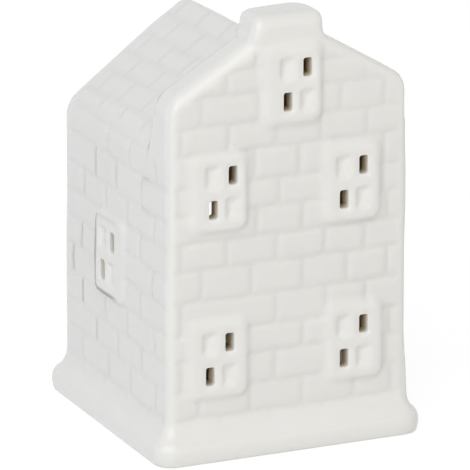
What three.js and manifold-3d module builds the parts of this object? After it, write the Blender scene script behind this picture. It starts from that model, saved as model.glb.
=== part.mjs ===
// House tea light holder.
//
// A glazed porcelain house, cast in one piece as a hollow shell that is open underneath. It
// stands over a tea light, whose light leaves through the small panes of the windows.
//
// Units are millimetres, +Z is up, the front gable faces -Y, and the origin is the centre of
// the footprint on the surface that the house stands on.

import * as THREE from 'three';
import { mergeVertices } from 'three/addons/utils/BufferGeometryUtils.js';
import Module from 'manifold-3d';

const wasm = await Module();
wasm.setup();

// Porcelain shell: body and wall
const BODY_WIDTH = 80;
const BODY_DEPTH = 81.8;
const WALL = 4.2;
const FRONT_EDGE_RADIUS = 3.6;
const BACK_EDGE_RADIUS = 3;
const INNER_EDGE_RADIUS = 1.5;

// Roof behind the gable, which settled a little towards the rear in the kiln. Eave heights are
// those of the sharp corners, before they are rounded.
const ROOF_EAVE_HEIGHT = 97.3;
const ROOF_RIDGE_HEIGHT = 126.1;
const ROOF_EAVE_RADIUS = 9;
const ROOF_RIDGE_RADIUS = 3;
const REAR_EAVE_DROP = 3.2;
const REAR_RIDGE_DROP = 1.9;

// Front gable, a thick parapet that stands higher than the roof
const GABLE_EAVE_HEIGHT = 113.5;
const GABLE_APEX_HEIGHT = 137.9;
const GABLE_THICKNESS = 12.6;
const GABLE_LEAN = 5.8;
const GABLE_EAVE_RADIUS = 4.2;
const GABLE_APEX_RADIUS = 3;

// Chimney block on the gable, flush with its front. Its sides spread by CHIMNEY_FLARE where
// they meet the slopes of the gable, and its root is sunk below them.
const CHIMNEY_WIDTH = 21;
const CHIMNEY_DEPTH = 13.6;
const CHIMNEY_OFFSET = 0.7;
const CHIMNEY_ABOVE_APEX = 0.1;
const CHIMNEY_ROOT = 4.5;
const CHIMNEY_FLARE = 1.6;
const CHIMNEY_CORNER_RADIUS = 3.4;
const CHIMNEY_EDGE_RADIUS = 1.8;

// Plinth: a round moulding under a hollow curve that runs up into the wall. The hollow of the
// house widens again inside it, down to the rim that the house stands on.
const PLINTH_OVERHANG = 4.6;
const PLINTH_FOOT_TUCK = 0.7;
const PLINTH_ROUND_HEIGHT = 6.9;
const PLINTH_HEIGHT = 18;
const HOLLOW_CURVE_POWER = 4;
const PLINTH_CORNER_GROWTH = 2.6;
const FOOT_RIM_WIDTH = 4.4;
const FOOT_STRAIGHT_HEIGHT = 3;
const FOOT_FLARE_HEIGHT = 9;

// Windows. Each one is a raised block with four panes, of which two are pierced.
const WINDOW_RELIEF = 1.5;
const WINDOW_CORNER_RADIUS = 3;
const WINDOW_SOFT_EDGE = 1.1;
const PANE_WIDTH = 3.2;
const PANE_HEIGHT = 6;
const PANE_CORNER_RADIUS = 0.7;
const PANE_SPACING_ACROSS = 6.5;
const PANE_SPACING_UP = 10.3;
const PANE_HOLLOW_DEPTH = 0.9;
const PANE_HOLLOW_BEVEL = 0.45;
const WALL_WINDOW = { width: 18, height: 24.5 };
const GABLE_WINDOW = { width: 19, height: 22.6 };

// Window places, to the middle of the panes. Columns are measured in from the side walls, the
// upper row down from the gable's eave and the gable window down from its apex. The caster's
// pattern sets each window a little differently, and most panes sit right of the block's middle.
const UPPER_LEFT = { inset: 17.7, drop: 28.4, shift: 1.1 };
const UPPER_RIGHT = { inset: 18.8, drop: 30.1, shift: 0.4 };
const LOWER_LEFT = { inset: 16.6, height: 32.1, shift: 0.7 };
const LOWER_RIGHT = { inset: 18.3, height: 32, shift: 0 };
const UNDER_APEX = { across: 2.4, drop: 21.4, shift: 1.7 };
const SIDE_WINDOW = { towardsRear: 2.4, height: 54.3, shift: 0.4 };
const REAR_WINDOW = { towardsRight: 6.2, height: 58.2, shift: 0.4 };

// Tea light
const CUP_RADIUS = 18.7;
const CUP_HEIGHT = 15.5;
const CUP_WALL = 0.3;
const CUP_RIM_RADIUS = 0.5;
const CUP_FOOT_RADIUS = 1.2;
const WAX_EDGE_DROP = 2.6;
const WAX_DISH = 0.7;
const WICK_RADIUS = 0.8;
const WICK_ABOVE_WAX = 7;
const WICK_BEND = 1.6;
const TAB_RADIUS = 6.2;
const TAB_THICKNESS = 0.5;
const TAB_NECK_HEIGHT = 3.4;
const TAB_NECK_WALL = 0.45;
const FIT_CLEARANCE = 0.2;

// Curve fineness, in steps for each curve
const EAVE_STEPS = 6;
const APEX_STEPS = 4;
const EDGE_STEPS = 4;
const ROOF_STEPS = 3;
const CORNER_STEPS = 5;
const FLARE_STEPS = 4;
const MOULDING_STEPS = 6;
const BLOCK_CORNER_STEPS = 3;
const BLOCK_EDGE_STEPS = 2;
const PANE_CORNER_STEPS = 2;
const ROUND_STEPS = 36;
const CUP_ARC_STEPS = 3;
const DISH_STEPS = 3;
const WICK_SIDES = 8;
const WICK_STEPS = 12;

// How far a cut runs past the face that it opens, and how near two points are one
const BELOW_FLOOR = 5;
const THROUGH = 2;
const MERGE_DISTANCE = 1e-4;

// Solids in and out of the boolean library

function toSolid(geometry) {
  const bare = geometry.index ? geometry.toNonIndexed() : geometry.clone();
  bare.deleteAttribute('normal');
  bare.deleteAttribute('uv');
  const merged = mergeVertices(bare, MERGE_DISTANCE);
  return new wasm.Manifold(new wasm.Mesh({
    numProp: 3,
    vertProperties: new Float32Array(merged.attributes.position.array),
    triVerts: new Uint32Array(merged.index.array),
  }));
}

function toGeometry(solid) {
  const mesh = solid.getMesh();
  const geometry = new THREE.BufferGeometry();
  geometry.setAttribute('position', new THREE.BufferAttribute(new Float32Array(mesh.vertProperties), 3));
  geometry.setIndex(new THREE.BufferAttribute(new Uint32Array(mesh.triVerts), 1));
  geometry.computeVertexNormals();
  return geometry;
}

// A closed solid through rings of equally many points, each ring convex. Seen from the first
// ring's far side, looking along the loft, the rings run clockwise.
function loft(rings) {
  const count = rings[0].length;
  const positions = rings.flat().flatMap((point) => [point.x, point.y, point.z]);
  const index = [];
  for (let ring = 0; ring + 1 < rings.length; ring += 1) {
    for (let step = 0; step < count; step += 1) {
      const here = ring * count + step;
      const next = ring * count + ((step + 1) % count);
      index.push(here, next, next + count, here, next + count, here + count);
    }
  }
  const addCap = (ring, flip) => {
    const centre = new THREE.Vector3();
    ring.forEach((point) => centre.add(point));
    centre.divideScalar(count);
    const hub = positions.length / 3;
    positions.push(centre.x, centre.y, centre.z);
    const start = flip ? 0 : (rings.length - 1) * count;
    for (let step = 0; step < count; step += 1) {
      const here = start + step;
      const next = start + ((step + 1) % count);
      index.push(...(flip ? [hub, next, here] : [hub, here, next]));
    }
  };
  addCap(rings[0], true);
  addCap(rings[rings.length - 1], false);
  const geometry = new THREE.BufferGeometry();
  geometry.setAttribute('position', new THREE.Float32BufferAttribute(positions, 3));
  geometry.setIndex(index);
  return toSolid(geometry);
}

// Rounds the corner at `corner` between the directions to `before` and `after`.
function roundedCorner(before, corner, after, radius, steps) {
  const back = before.clone().sub(corner).normalize();
  const ahead = after.clone().sub(corner).normalize();
  const halfAngle = Math.acos(THREE.MathUtils.clamp(back.dot(ahead), -1, 1)) / 2;
  const reach = radius / Math.tan(halfAngle);
  const middle = back.clone().add(ahead).normalize();
  const centre = corner.clone().addScaledVector(middle, radius / Math.sin(halfAngle));
  const first = corner.clone().addScaledVector(back, reach).sub(centre);
  const last = corner.clone().addScaledVector(ahead, reach).sub(centre);
  const turn = Math.atan2(first.cross(last), first.dot(last));
  return Array.from({ length: steps + 1 }, (_, step) => first.clone()
    .rotateAround(new THREE.Vector2(), (turn * step) / steps)
    .add(centre));
}

// The outline of a house seen from the front, at one depth: two walls, two slopes, rounded
// eaves and ridge. It can be drawn in by `inset` on all sides but the bottom.
function houseRing({ eave, ridge, eaveRadius, ridgeRadius, bottom }, depth, inset) {
  const slope = (ridge - eave) / (BODY_WIDTH / 2);
  const half = BODY_WIDTH / 2 - inset;
  const top = ridge - inset * Math.hypot(1, slope);
  const shoulder = top - slope * half;
  const eaveBend = Math.max(eaveRadius - inset, INNER_EDGE_RADIUS);
  const footRight = new THREE.Vector2(half, bottom);
  const footLeft = new THREE.Vector2(-half, bottom);
  const eaveRight = new THREE.Vector2(half, shoulder);
  const eaveLeft = new THREE.Vector2(-half, shoulder);
  const apex = new THREE.Vector2(0, top);
  const outline = [
    footRight,
    ...roundedCorner(footRight, eaveRight, apex, eaveBend, EAVE_STEPS),
    ...roundedCorner(eaveRight, apex, eaveLeft, ridgeRadius, APEX_STEPS),
    ...roundedCorner(apex, eaveLeft, footLeft, eaveBend, EAVE_STEPS),
    footLeft,
  ];
  return outline.map((point) => new THREE.Vector3(point.x, depth, point.y)).reverse();
}

// A rectangle with round corners, level at `height`, as a ring that runs anticlockwise from above
function levelRing(halfWidth, halfDepth, radius, height) {
  const ring = [];
  [[1, 1, 0], [-1, 1, 1], [-1, -1, 2], [1, -1, 3]].forEach(([sideX, sideY, quarter]) => {
    for (let step = 0; step <= CORNER_STEPS; step += 1) {
      const angle = (quarter + step / CORNER_STEPS) * (Math.PI / 2);
      ring.push(new THREE.Vector3(
        sideX * (halfWidth - radius) + radius * Math.cos(angle),
        sideY * (halfDepth - radius) + radius * Math.sin(angle),
        height,
      ));
    }
  });
  return ring;
}

// Body, roof and gable

const frontFace = -BODY_DEPTH / 2;
const rearFace = BODY_DEPTH / 2;
const gableBack = frontFace + GABLE_THICKNESS;
const gableFoot = gableBack + GABLE_LEAN;

function gableOutline(bottom) {
  return {
    eave: GABLE_EAVE_HEIGHT,
    ridge: GABLE_APEX_HEIGHT,
    eaveRadius: GABLE_EAVE_RADIUS,
    ridgeRadius: GABLE_APEX_RADIUS,
    bottom,
  };
}

// The roof's outline at a share of its run from the gable (0) to the rear (1)
function roofOutline(run, bottom) {
  return {
    eave: ROOF_EAVE_HEIGHT - REAR_EAVE_DROP * run * run,
    ridge: ROOF_RIDGE_HEIGHT - REAR_RIDGE_DROP * run * run,
    eaveRadius: ROOF_EAVE_RADIUS,
    ridgeRadius: ROOF_RIDGE_RADIUS,
    bottom,
  };
}

// Rings along the roof from the gable's foot to a depth short of the rear edge
function roofRings(from, to, bottom, inset) {
  return Array.from({ length: ROOF_STEPS + 1 }, (_, step) => {
    const run = step / ROOF_STEPS;
    return houseRing(roofOutline(run, bottom), THREE.MathUtils.lerp(from, to, run), inset);
  });
}

// Quarter circle from the end face (level 0) to the side face (level 1) of a rounded edge
function edgeSteps(radius, steps) {
  return Array.from({ length: steps + 1 }, (_, step) => {
    const angle = (step / steps) * (Math.PI / 2);
    return { along: radius * (1 - Math.cos(angle)), inset: radius * (1 - Math.sin(angle)) };
  });
}

function bodySolid() {
  const gable = gableOutline(0);
  const frontEdge = edgeSteps(FRONT_EDGE_RADIUS, EDGE_STEPS)
    .map(({ along, inset }) => houseRing(gable, frontFace + along, inset));
  const rearEdge = edgeSteps(BACK_EDGE_RADIUS, EDGE_STEPS)
    .map(({ along, inset }) => houseRing(roofOutline(1, 0), rearFace - along, inset))
    .reverse();
  return loft([
    ...frontEdge,
    houseRing(gable, gableBack, 0),
    ...roofRings(gableFoot, rearFace - BACK_EDGE_RADIUS, 0, 0),
    ...rearEdge.slice(1),
  ]);
}

// The hollow follows the outside at the thickness of the wall, and is open at the bottom.
function hollowSolid() {
  const gable = gableOutline(-BELOW_FLOOR);
  const leanFactor = Math.hypot(1, GABLE_LEAN / (GABLE_EAVE_HEIGHT - ROOF_EAVE_HEIGHT));
  const setBack = WALL * leanFactor;
  const main = loft([
    houseRing(gable, frontFace + WALL, WALL),
    houseRing(gable, gableBack - setBack, WALL),
    ...roofRings(gableFoot - setBack, rearFace - WALL, -BELOW_FLOOR, WALL),
  ]);
  const footInset = FOOT_RIM_WIDTH - (PLINTH_OVERHANG - PLINTH_FOOT_TUCK);
  const opening = (inset, height) => levelRing(
    BODY_WIDTH / 2 - inset,
    BODY_DEPTH / 2 - inset,
    INNER_EDGE_RADIUS,
    height,
  );
  const foot = loft([
    opening(footInset, -BELOW_FLOOR),
    opening(footInset, FOOT_STRAIGHT_HEIGHT),
    opening(WALL, FOOT_FLARE_HEIGHT),
  ]);
  return main.add(foot);
}

// Plinth

// How far the plinth stands out from the wall at a height: a round moulding up to
// PLINTH_ROUND_HEIGHT, then a hollow curve that dies into the wall at PLINTH_HEIGHT.
function plinthOutreach(height) {
  const belly = PLINTH_ROUND_HEIGHT / 2;
  const shoulder = PLINTH_OVERHANG - PLINTH_FOOT_TUCK;
  if (height <= PLINTH_ROUND_HEIGHT) {
    const offCentre = (height - belly) / belly;
    return PLINTH_OVERHANG - PLINTH_FOOT_TUCK * offCentre * offCentre;
  }
  const rise = (height - PLINTH_ROUND_HEIGHT) / (PLINTH_HEIGHT - PLINTH_ROUND_HEIGHT);
  return shoulder * (1 - rise) ** HOLLOW_CURVE_POWER;
}

// Levels crowd together at both ends of the round moulding and at the foot of the hollow curve,
// where the profile turns most.
function plinthSolid() {
  const hollowRise = PLINTH_HEIGHT - PLINTH_ROUND_HEIGHT;
  const shares = Array.from({ length: MOULDING_STEPS }, (_, step) => (step + 1) / MOULDING_STEPS);
  const levels = [
    0,
    ...shares.map((share) => (PLINTH_ROUND_HEIGHT * (1 - Math.cos(Math.PI * share))) / 2),
    ...shares.map((share) => PLINTH_ROUND_HEIGHT + hollowRise * share * share),
  ];
  return loft(levels.map((height) => {
    const outreach = plinthOutreach(height);
    const halfWidth = BODY_WIDTH / 2 + outreach;
    const halfDepth = BODY_DEPTH / 2 + outreach;
    const growth = (PLINTH_CORNER_GROWTH * outreach) / PLINTH_OVERHANG;
    return levelRing(halfWidth, halfDepth, BACK_EDGE_RADIUS + growth, height);
  }));
}

// Chimney

// The sides spread towards the root by a hollow curve, and the top edge is rounded.
function chimneySolid() {
  const gableSlope = (GABLE_APEX_HEIGHT - GABLE_EAVE_HEIGHT) / (BODY_WIDTH / 2);
  const meeting = GABLE_APEX_HEIGHT - (gableSlope * CHIMNEY_WIDTH) / 2;
  const top = GABLE_APEX_HEIGHT + CHIMNEY_ABOVE_APEX;
  const flareTop = top - CHIMNEY_EDGE_RADIUS;
  const flare = Array.from({ length: FLARE_STEPS + 1 }, (_, step) => {
    const height = THREE.MathUtils.lerp(meeting - CHIMNEY_ROOT, flareTop, step / FLARE_STEPS);
    const below = (flareTop - height) / (flareTop - meeting);
    return { height, outreach: CHIMNEY_FLARE * below * below, inset: 0 };
  });
  const topEdge = edgeSteps(CHIMNEY_EDGE_RADIUS, EDGE_STEPS)
    .map(({ along, inset }) => ({ height: top - along, outreach: 0, inset }))
    .reverse();
  const middle = new THREE.Vector3(CHIMNEY_OFFSET, frontFace + CHIMNEY_DEPTH / 2, 0);
  return loft([...flare, ...topEdge.slice(1)].map(({ height, outreach, inset }) => levelRing(
    CHIMNEY_WIDTH / 2 + outreach - inset,
    CHIMNEY_DEPTH / 2 - inset,
    CHIMNEY_CORNER_RADIUS - inset,
    height,
  ).map((point) => point.add(middle))));
}

// Shapes in the plane of a wall, and how they are stood on it

function roundedRectangle(width, height, radius) {
  const shape = new THREE.Shape();
  const right = width / 2;
  const top = height / 2;
  const quarter = Math.PI / 2;
  shape.absarc(right - radius, top - radius, radius, 0, quarter);
  shape.absarc(-right + radius, top - radius, radius, quarter, 2 * quarter);
  shape.absarc(-right + radius, -top + radius, radius, 2 * quarter, 3 * quarter);
  shape.absarc(right - radius, -top + radius, radius, 3 * quarter, 4 * quarter);
  shape.closePath();
  return shape;
}

// Frames for the four walls, as right, up and outward directions seen from outside
const walls = {
  front: { right: [1, 0, 0], outward: [0, -1, 0], distance: BODY_DEPTH / 2 },
  rear: { right: [-1, 0, 0], outward: [0, 1, 0], distance: BODY_DEPTH / 2 },
  left: { right: [0, -1, 0], outward: [-1, 0, 0], distance: BODY_WIDTH / 2 },
  right: { right: [0, 1, 0], outward: [1, 0, 0], distance: BODY_WIDTH / 2 },
};

function wallFrame({ right, outward, distance }, across, height) {
  const rightWay = new THREE.Vector3(...right);
  const outWay = new THREE.Vector3(...outward);
  const place = outWay.clone().multiplyScalar(distance).addScaledVector(rightWay, across);
  return new THREE.Matrix4()
    .makeBasis(rightWay, new THREE.Vector3(0, 0, 1), outWay)
    .setPosition(place.x, place.y, height);
}

// The block is sunk halfway into the wall, and its front edge is softly rounded.
function windowBlock(size) {
  const outline = roundedRectangle(
    size.width - 2 * WINDOW_SOFT_EDGE,
    size.height - 2 * WINDOW_SOFT_EDGE,
    WINDOW_CORNER_RADIUS - WINDOW_SOFT_EDGE,
  );
  const geometry = new THREE.ExtrudeGeometry(outline, {
    depth: WALL / 2,
    bevelThickness: WINDOW_SOFT_EDGE,
    bevelSize: WINDOW_SOFT_EDGE,
    bevelSegments: BLOCK_EDGE_STEPS,
    curveSegments: BLOCK_CORNER_STEPS,
  });
  return geometry.translate(0, 0, WINDOW_RELIEF - WINDOW_SOFT_EDGE - WALL / 2);
}

function paneHole() {
  const outline = roundedRectangle(PANE_WIDTH, PANE_HEIGHT, PANE_CORNER_RADIUS);
  const geometry = new THREE.ExtrudeGeometry(outline, {
    depth: WALL + WINDOW_RELIEF + 2 * THROUGH,
    bevelEnabled: false,
    curveSegments: PANE_CORNER_STEPS,
  });
  return geometry.translate(0, 0, -WALL - THROUGH);
}

function paneHollow() {
  const outline = roundedRectangle(
    PANE_WIDTH - 2 * PANE_HOLLOW_BEVEL,
    PANE_HEIGHT - 2 * PANE_HOLLOW_BEVEL,
    PANE_CORNER_RADIUS - PANE_HOLLOW_BEVEL,
  );
  const geometry = new THREE.ExtrudeGeometry(outline, {
    depth: THROUGH,
    bevelThickness: PANE_HOLLOW_BEVEL,
    bevelSize: PANE_HOLLOW_BEVEL,
    bevelSegments: 1,
    curveSegments: PANE_CORNER_STEPS,
  });
  return geometry.translate(0, 0, WINDOW_RELIEF - PANE_HOLLOW_DEPTH + PANE_HOLLOW_BEVEL);
}

// All windows: the wall, the block's size, the middle of the panes along the wall and above the
// floor, and how far the panes are shifted from the block's middle
const leftWall = -BODY_WIDTH / 2;
const rightWall = BODY_WIDTH / 2;
const windows = [
  {
    wall: walls.front,
    block: GABLE_WINDOW,
    across: UNDER_APEX.across,
    height: GABLE_APEX_HEIGHT - UNDER_APEX.drop,
    shift: UNDER_APEX.shift,
  },
  {
    wall: walls.front,
    block: WALL_WINDOW,
    across: leftWall + UPPER_LEFT.inset,
    height: GABLE_EAVE_HEIGHT - UPPER_LEFT.drop,
    shift: UPPER_LEFT.shift,
  },
  {
    wall: walls.front,
    block: WALL_WINDOW,
    across: rightWall - UPPER_RIGHT.inset,
    height: GABLE_EAVE_HEIGHT - UPPER_RIGHT.drop,
    shift: UPPER_RIGHT.shift,
  },
  {
    wall: walls.front,
    block: WALL_WINDOW,
    across: leftWall + LOWER_LEFT.inset,
    height: LOWER_LEFT.height,
    shift: LOWER_LEFT.shift,
  },
  {
    wall: walls.front,
    block: WALL_WINDOW,
    across: rightWall - LOWER_RIGHT.inset,
    height: LOWER_RIGHT.height,
    shift: LOWER_RIGHT.shift,
  },
  {
    wall: walls.left,
    block: WALL_WINDOW,
    across: -SIDE_WINDOW.towardsRear,
    height: SIDE_WINDOW.height,
    shift: SIDE_WINDOW.shift,
  },
  {
    wall: walls.right,
    block: WALL_WINDOW,
    across: SIDE_WINDOW.towardsRear,
    height: SIDE_WINDOW.height,
    shift: SIDE_WINDOW.shift,
  },
  {
    wall: walls.rear,
    block: WALL_WINDOW,
    across: -REAR_WINDOW.towardsRight,
    height: REAR_WINDOW.height,
    shift: REAR_WINDOW.shift,
  },
];

// Blocks to add and panes to cut. The upper right and lower left panes go through the wall,
// and the other two are shallow hollows.
function windowSolids({ wall, block, across, height, shift }) {
  const right = PANE_SPACING_ACROSS / 2;
  const up = PANE_SPACING_UP / 2;
  const frame = wallFrame(wall, across, height);
  const stand = (geometry, x, y) => toSolid(geometry.translate(x, y, 0).applyMatrix4(frame));
  return {
    block: stand(windowBlock(block), -shift, 0),
    panes: [
      stand(paneHole(), right, up),
      stand(paneHole(), -right, -up),
      stand(paneHollow(), -right, up),
      stand(paneHollow(), right, -up),
    ],
  };
}

function porcelainHouse() {
  const fitted = windows.map(windowSolids);
  let house = bodySolid().add(plinthSolid()).add(chimneySolid());
  fitted.forEach(({ block }) => { house = house.add(block); });
  house = house.subtract(hollowSolid());
  fitted.forEach(({ panes }) => panes.forEach((pane) => { house = house.subtract(pane); }));
  return toGeometry(house);
}

// Tea light

const waxTop = CUP_HEIGHT - WAX_EDGE_DROP;
const tabBottom = CUP_WALL + FIT_CLEARANCE;
const tabTop = tabBottom + TAB_THICKNESS;
const neckTop = tabBottom + TAB_NECK_HEIGHT;
const boreRadius = WICK_RADIUS + FIT_CLEARANCE;
const neckRadius = boreRadius + TAB_NECK_WALL;

function turned(profile) {
  const points = profile.map(([radius, height]) => new THREE.Vector2(radius, height));
  return new THREE.LatheGeometry(points, ROUND_STEPS).rotateX(Math.PI / 2);
}

// Part of a circle in the plane of a turned profile, between two angles in quarter turns
function profileArc(centreRadius, centreHeight, radius, from, to) {
  return Array.from({ length: CUP_ARC_STEPS + 1 }, (_, step) => {
    const angle = THREE.MathUtils.lerp(from, to, step / CUP_ARC_STEPS) * (Math.PI / 2);
    return [centreRadius + radius * Math.cos(angle), centreHeight + radius * Math.sin(angle)];
  });
}

// Pressed cup: thin floor, round foot, straight wall and a rolled rim
function cupGeometry() {
  const footCentre = CUP_RADIUS - CUP_FOOT_RADIUS;
  const rimHeight = CUP_HEIGHT - CUP_RIM_RADIUS;
  return turned([
    [0, 0],
    ...profileArc(footCentre, CUP_FOOT_RADIUS, CUP_FOOT_RADIUS, -1, 0),
    ...profileArc(CUP_RADIUS, rimHeight, CUP_RIM_RADIUS, -1, 1),
    [CUP_RADIUS - CUP_WALL, CUP_HEIGHT],
    ...profileArc(footCentre, CUP_FOOT_RADIUS, CUP_FOOT_RADIUS - CUP_WALL, 0, -1),
    [0, CUP_WALL],
  ]);
}

// Wax with a bore for the wick and a recess for the tab, dished down towards the wick
function waxGeometry() {
  const outer = CUP_RADIUS - CUP_WALL - FIT_CLEARANCE;
  const bottom = CUP_WALL + FIT_CLEARANCE;
  const recess = TAB_RADIUS + FIT_CLEARANCE;
  const recessTop = tabTop + FIT_CLEARANCE;
  const socket = neckRadius + FIT_CLEARANCE;
  const socketTop = neckTop + FIT_CLEARANCE;
  const dish = Array.from({ length: DISH_STEPS + 1 }, (_, step) => {
    const radius = THREE.MathUtils.lerp(outer, boreRadius, step / DISH_STEPS);
    return [radius, waxTop - WAX_DISH * (1 - (radius / outer) ** 2)];
  });
  const profile = [
    [recess, bottom],
    [outer - CUP_FOOT_RADIUS, bottom],
    [outer, bottom + CUP_FOOT_RADIUS],
    ...dish,
    [boreRadius, socketTop],
    [socket, socketTop],
    [socket, recessTop],
    [recess, recessTop],
  ];
  return turned([...profile, profile[0]]);
}

// Wick tab: a flat disc with a crimped neck that holds the wick
function tabGeometry() {
  const profile = [
    [boreRadius, tabBottom],
    [TAB_RADIUS, tabBottom],
    [TAB_RADIUS, tabTop],
    [neckRadius, tabTop],
    [neckRadius, neckTop],
    [boreRadius, neckTop],
  ];
  return turned([...profile, profile[0]]);
}

// Wick: straight through the wax, then bent over a little towards its free end
function wickGeometry() {
  const inWax = [tabBottom, neckTop, waxTop].map((height) => new THREE.Vector3(0, 0, height));
  const free = [1 / 2, 1].map((share) => new THREE.Vector3(
    WICK_BEND * share * share,
    0,
    waxTop + WICK_ABOVE_WAX * share,
  ));
  const section = new THREE.Shape();
  section.absarc(0, 0, WICK_RADIUS, 0, 2 * Math.PI);
  return new THREE.ExtrudeGeometry(section, {
    steps: WICK_STEPS,
    curveSegments: WICK_SIDES,
    extrudePath: new THREE.CatmullRomCurve3([...inWax, ...free]),
  });
}

// Materials

const porcelain = new THREE.MeshStandardMaterial({ color: 0xe8e7e2, roughness: 0.16, metalness: 0 });
const aluminium = new THREE.MeshStandardMaterial({ color: 0xc9cbcd, roughness: 0.32, metalness: 1 });
const wax = new THREE.MeshStandardMaterial({ color: 0xf2efe6, roughness: 0.45, metalness: 0 });
const cotton = new THREE.MeshStandardMaterial({ color: 0xe9e3d4, roughness: 0.95, metalness: 0 });
const steel = new THREE.MeshStandardMaterial({ color: 0xa9abad, roughness: 0.4, metalness: 1 });

function piece(name, geometry, material) {
  const mesh = new THREE.Mesh(geometry, material);
  mesh.name = name;
  return mesh;
}

// Assembly

const holder = new THREE.Group();
const teaLight = new THREE.Group();
holder.add(piece('porcelain_house', porcelainHouse(), porcelain));
teaLight.add(piece('tea_light_cup', cupGeometry(), aluminium));
teaLight.add(piece('tea_light_wax', waxGeometry(), wax));
teaLight.add(piece('tea_light_wick_tab', tabGeometry(), steel));
teaLight.add(piece('tea_light_wick', wickGeometry(), cotton));
holder.add(teaLight);

export default holder;
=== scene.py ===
"""Looks of the house tea light holder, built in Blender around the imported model.

A glazed porcelain house stands over a tea light. The house is one closed surface: an outer skin
with brickwork and raised windows, a hollow inside, and pierced window panes that join the two.
Sizes are millimetres unless a name says otherwise, +Z is up, and the front gable faces -Y.
"""

import logging
from dataclasses import dataclass, field
from enum import Enum

import bpy
import numpy as np
from mathutils import Matrix, Vector


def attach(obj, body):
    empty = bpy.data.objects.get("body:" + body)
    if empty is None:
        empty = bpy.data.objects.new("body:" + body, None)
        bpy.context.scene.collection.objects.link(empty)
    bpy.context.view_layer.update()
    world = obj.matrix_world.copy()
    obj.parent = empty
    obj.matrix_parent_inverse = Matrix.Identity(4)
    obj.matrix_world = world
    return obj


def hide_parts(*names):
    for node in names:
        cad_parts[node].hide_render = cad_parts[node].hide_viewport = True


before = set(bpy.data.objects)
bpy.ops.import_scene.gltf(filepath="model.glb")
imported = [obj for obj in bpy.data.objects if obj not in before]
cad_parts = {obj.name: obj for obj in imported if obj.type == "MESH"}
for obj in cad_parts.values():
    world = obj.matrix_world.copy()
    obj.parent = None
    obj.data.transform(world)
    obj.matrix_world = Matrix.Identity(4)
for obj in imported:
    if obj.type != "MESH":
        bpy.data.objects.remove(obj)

MM = 0.001

Array = np.ndarray
Socket = bpy.types.NodeSocket
Pair = tuple[float, float]
Triple = tuple[float, float, float]
Courses = tuple[tuple[float, ...], ...]
Colour = Triple

log = logging.getLogger("tea_light_house")


# Shapes in numbers

def smooth_step(value: Array) -> Array:
    """Eases from 0 to 1: three times the square less twice the cube, held at both ends."""
    held = np.clip(value, 0.0, 1.0)
    return held * held * (3.0 - 2.0 * held)


@dataclass(frozen=True)
class Ramp:
    """An eased step from 0 to 1.

    Attributes:
        start: Value up to which the step is 0.
        reach: Way from there to 1, negative where the step rises downwards.
    """

    start: float
    reach: float

    def at(self, value: Array) -> Array:
        """Height of the step at a value."""
        return smooth_step((value - self.start) / self.reach)


def blended(first: float | Array, second: float | Array, share: float | Array) -> float | Array:
    """Goes in a straight line from the first value to the second with a share."""
    return first + (second - first) * share


def filleted_join(first: Array, second: Array, reach: float) -> Array:
    """Distance to two solids joined: the lesser, less the square of how nearly equal they are."""
    nearness = np.maximum(reach - np.abs(first - second), 0.0) / reach
    return np.minimum(first, second) - nearness * nearness * reach / 4.0


def eased_overlap(first: Array, second: Array, reach: float) -> Array:
    """Distance to the overlap of two solids that meet at a wide angle, with the ridge eased."""
    return -filleted_join(-first, -second, reach)


def rounded_overlap(first: Array, second: Array, radius: float | Array) -> Array:
    """Distance to the overlap of two solids, with the edge where they meet rounded.

    Within the radius of both faces the distance is measured from the centre of the round.

    Args:
        first: Distance to one solid, negative inside.
        second: Distance to the other solid.
        radius: Radius of the edge.

    Returns:
        Distance to what the two solids share.
    """
    inside = np.minimum(-radius, np.maximum(first, second))
    over_first = np.maximum(radius + first, 0.0)
    over_second = np.maximum(radius + second, 0.0)
    return inside + np.hypot(over_first, over_second)


def rectangle_distance(
    across: Array,
    along: Array,
    half_width: float | Array,
    half_length: float | Array,
    radius: float | Array,
) -> Array:
    """Distance to a rectangle with round corners about the origin, negative inside it.

    Args:
        across, along: Places.
        half_width, half_length: Half of its sides.
        radius: Radius of its corners.

    Returns:
        Distances, negative inside.
    """
    over_x = np.abs(across) - half_width + radius
    over_y = np.abs(along) - half_length + radius
    outside = np.hypot(np.maximum(over_x, 0.0), np.maximum(over_y, 0.0))
    return outside + np.minimum(np.maximum(over_x, over_y), 0.0) - radius


def equal_steps(line: Array, count: int) -> Array:
    """Points at equal steps along a line of straight pieces, both ends included.

    Args:
        line: Corner points of the line, one row each.
        count: Number of steps.

    Returns:
        One row for each of the count + 1 points.
    """
    lengths = np.linalg.norm(np.diff(line, axis=0), axis=1)
    travelled = np.concatenate([[0.0], np.cumsum(lengths)])
    marks = np.linspace(0.0, travelled[-1], count + 1)
    columns = [np.interp(marks, travelled, line[:, axis]) for axis in range(line.shape[1])]
    return np.stack(columns, axis=1)


def loop_turns(points: Array, centre: Array) -> Array:
    """Direction of each point of a flat loop from its centre, in turns from 0 to 1."""
    offset = points - centre
    return (np.arctan2(offset[:, 1], offset[:, 0]) / (2.0 * np.pi)) % 1.0


def nearest(line: Array, place: float) -> int:
    """Number of the point of a line that lies nearest to a place."""
    return int(np.argmin(np.abs(line - place)))


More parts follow.
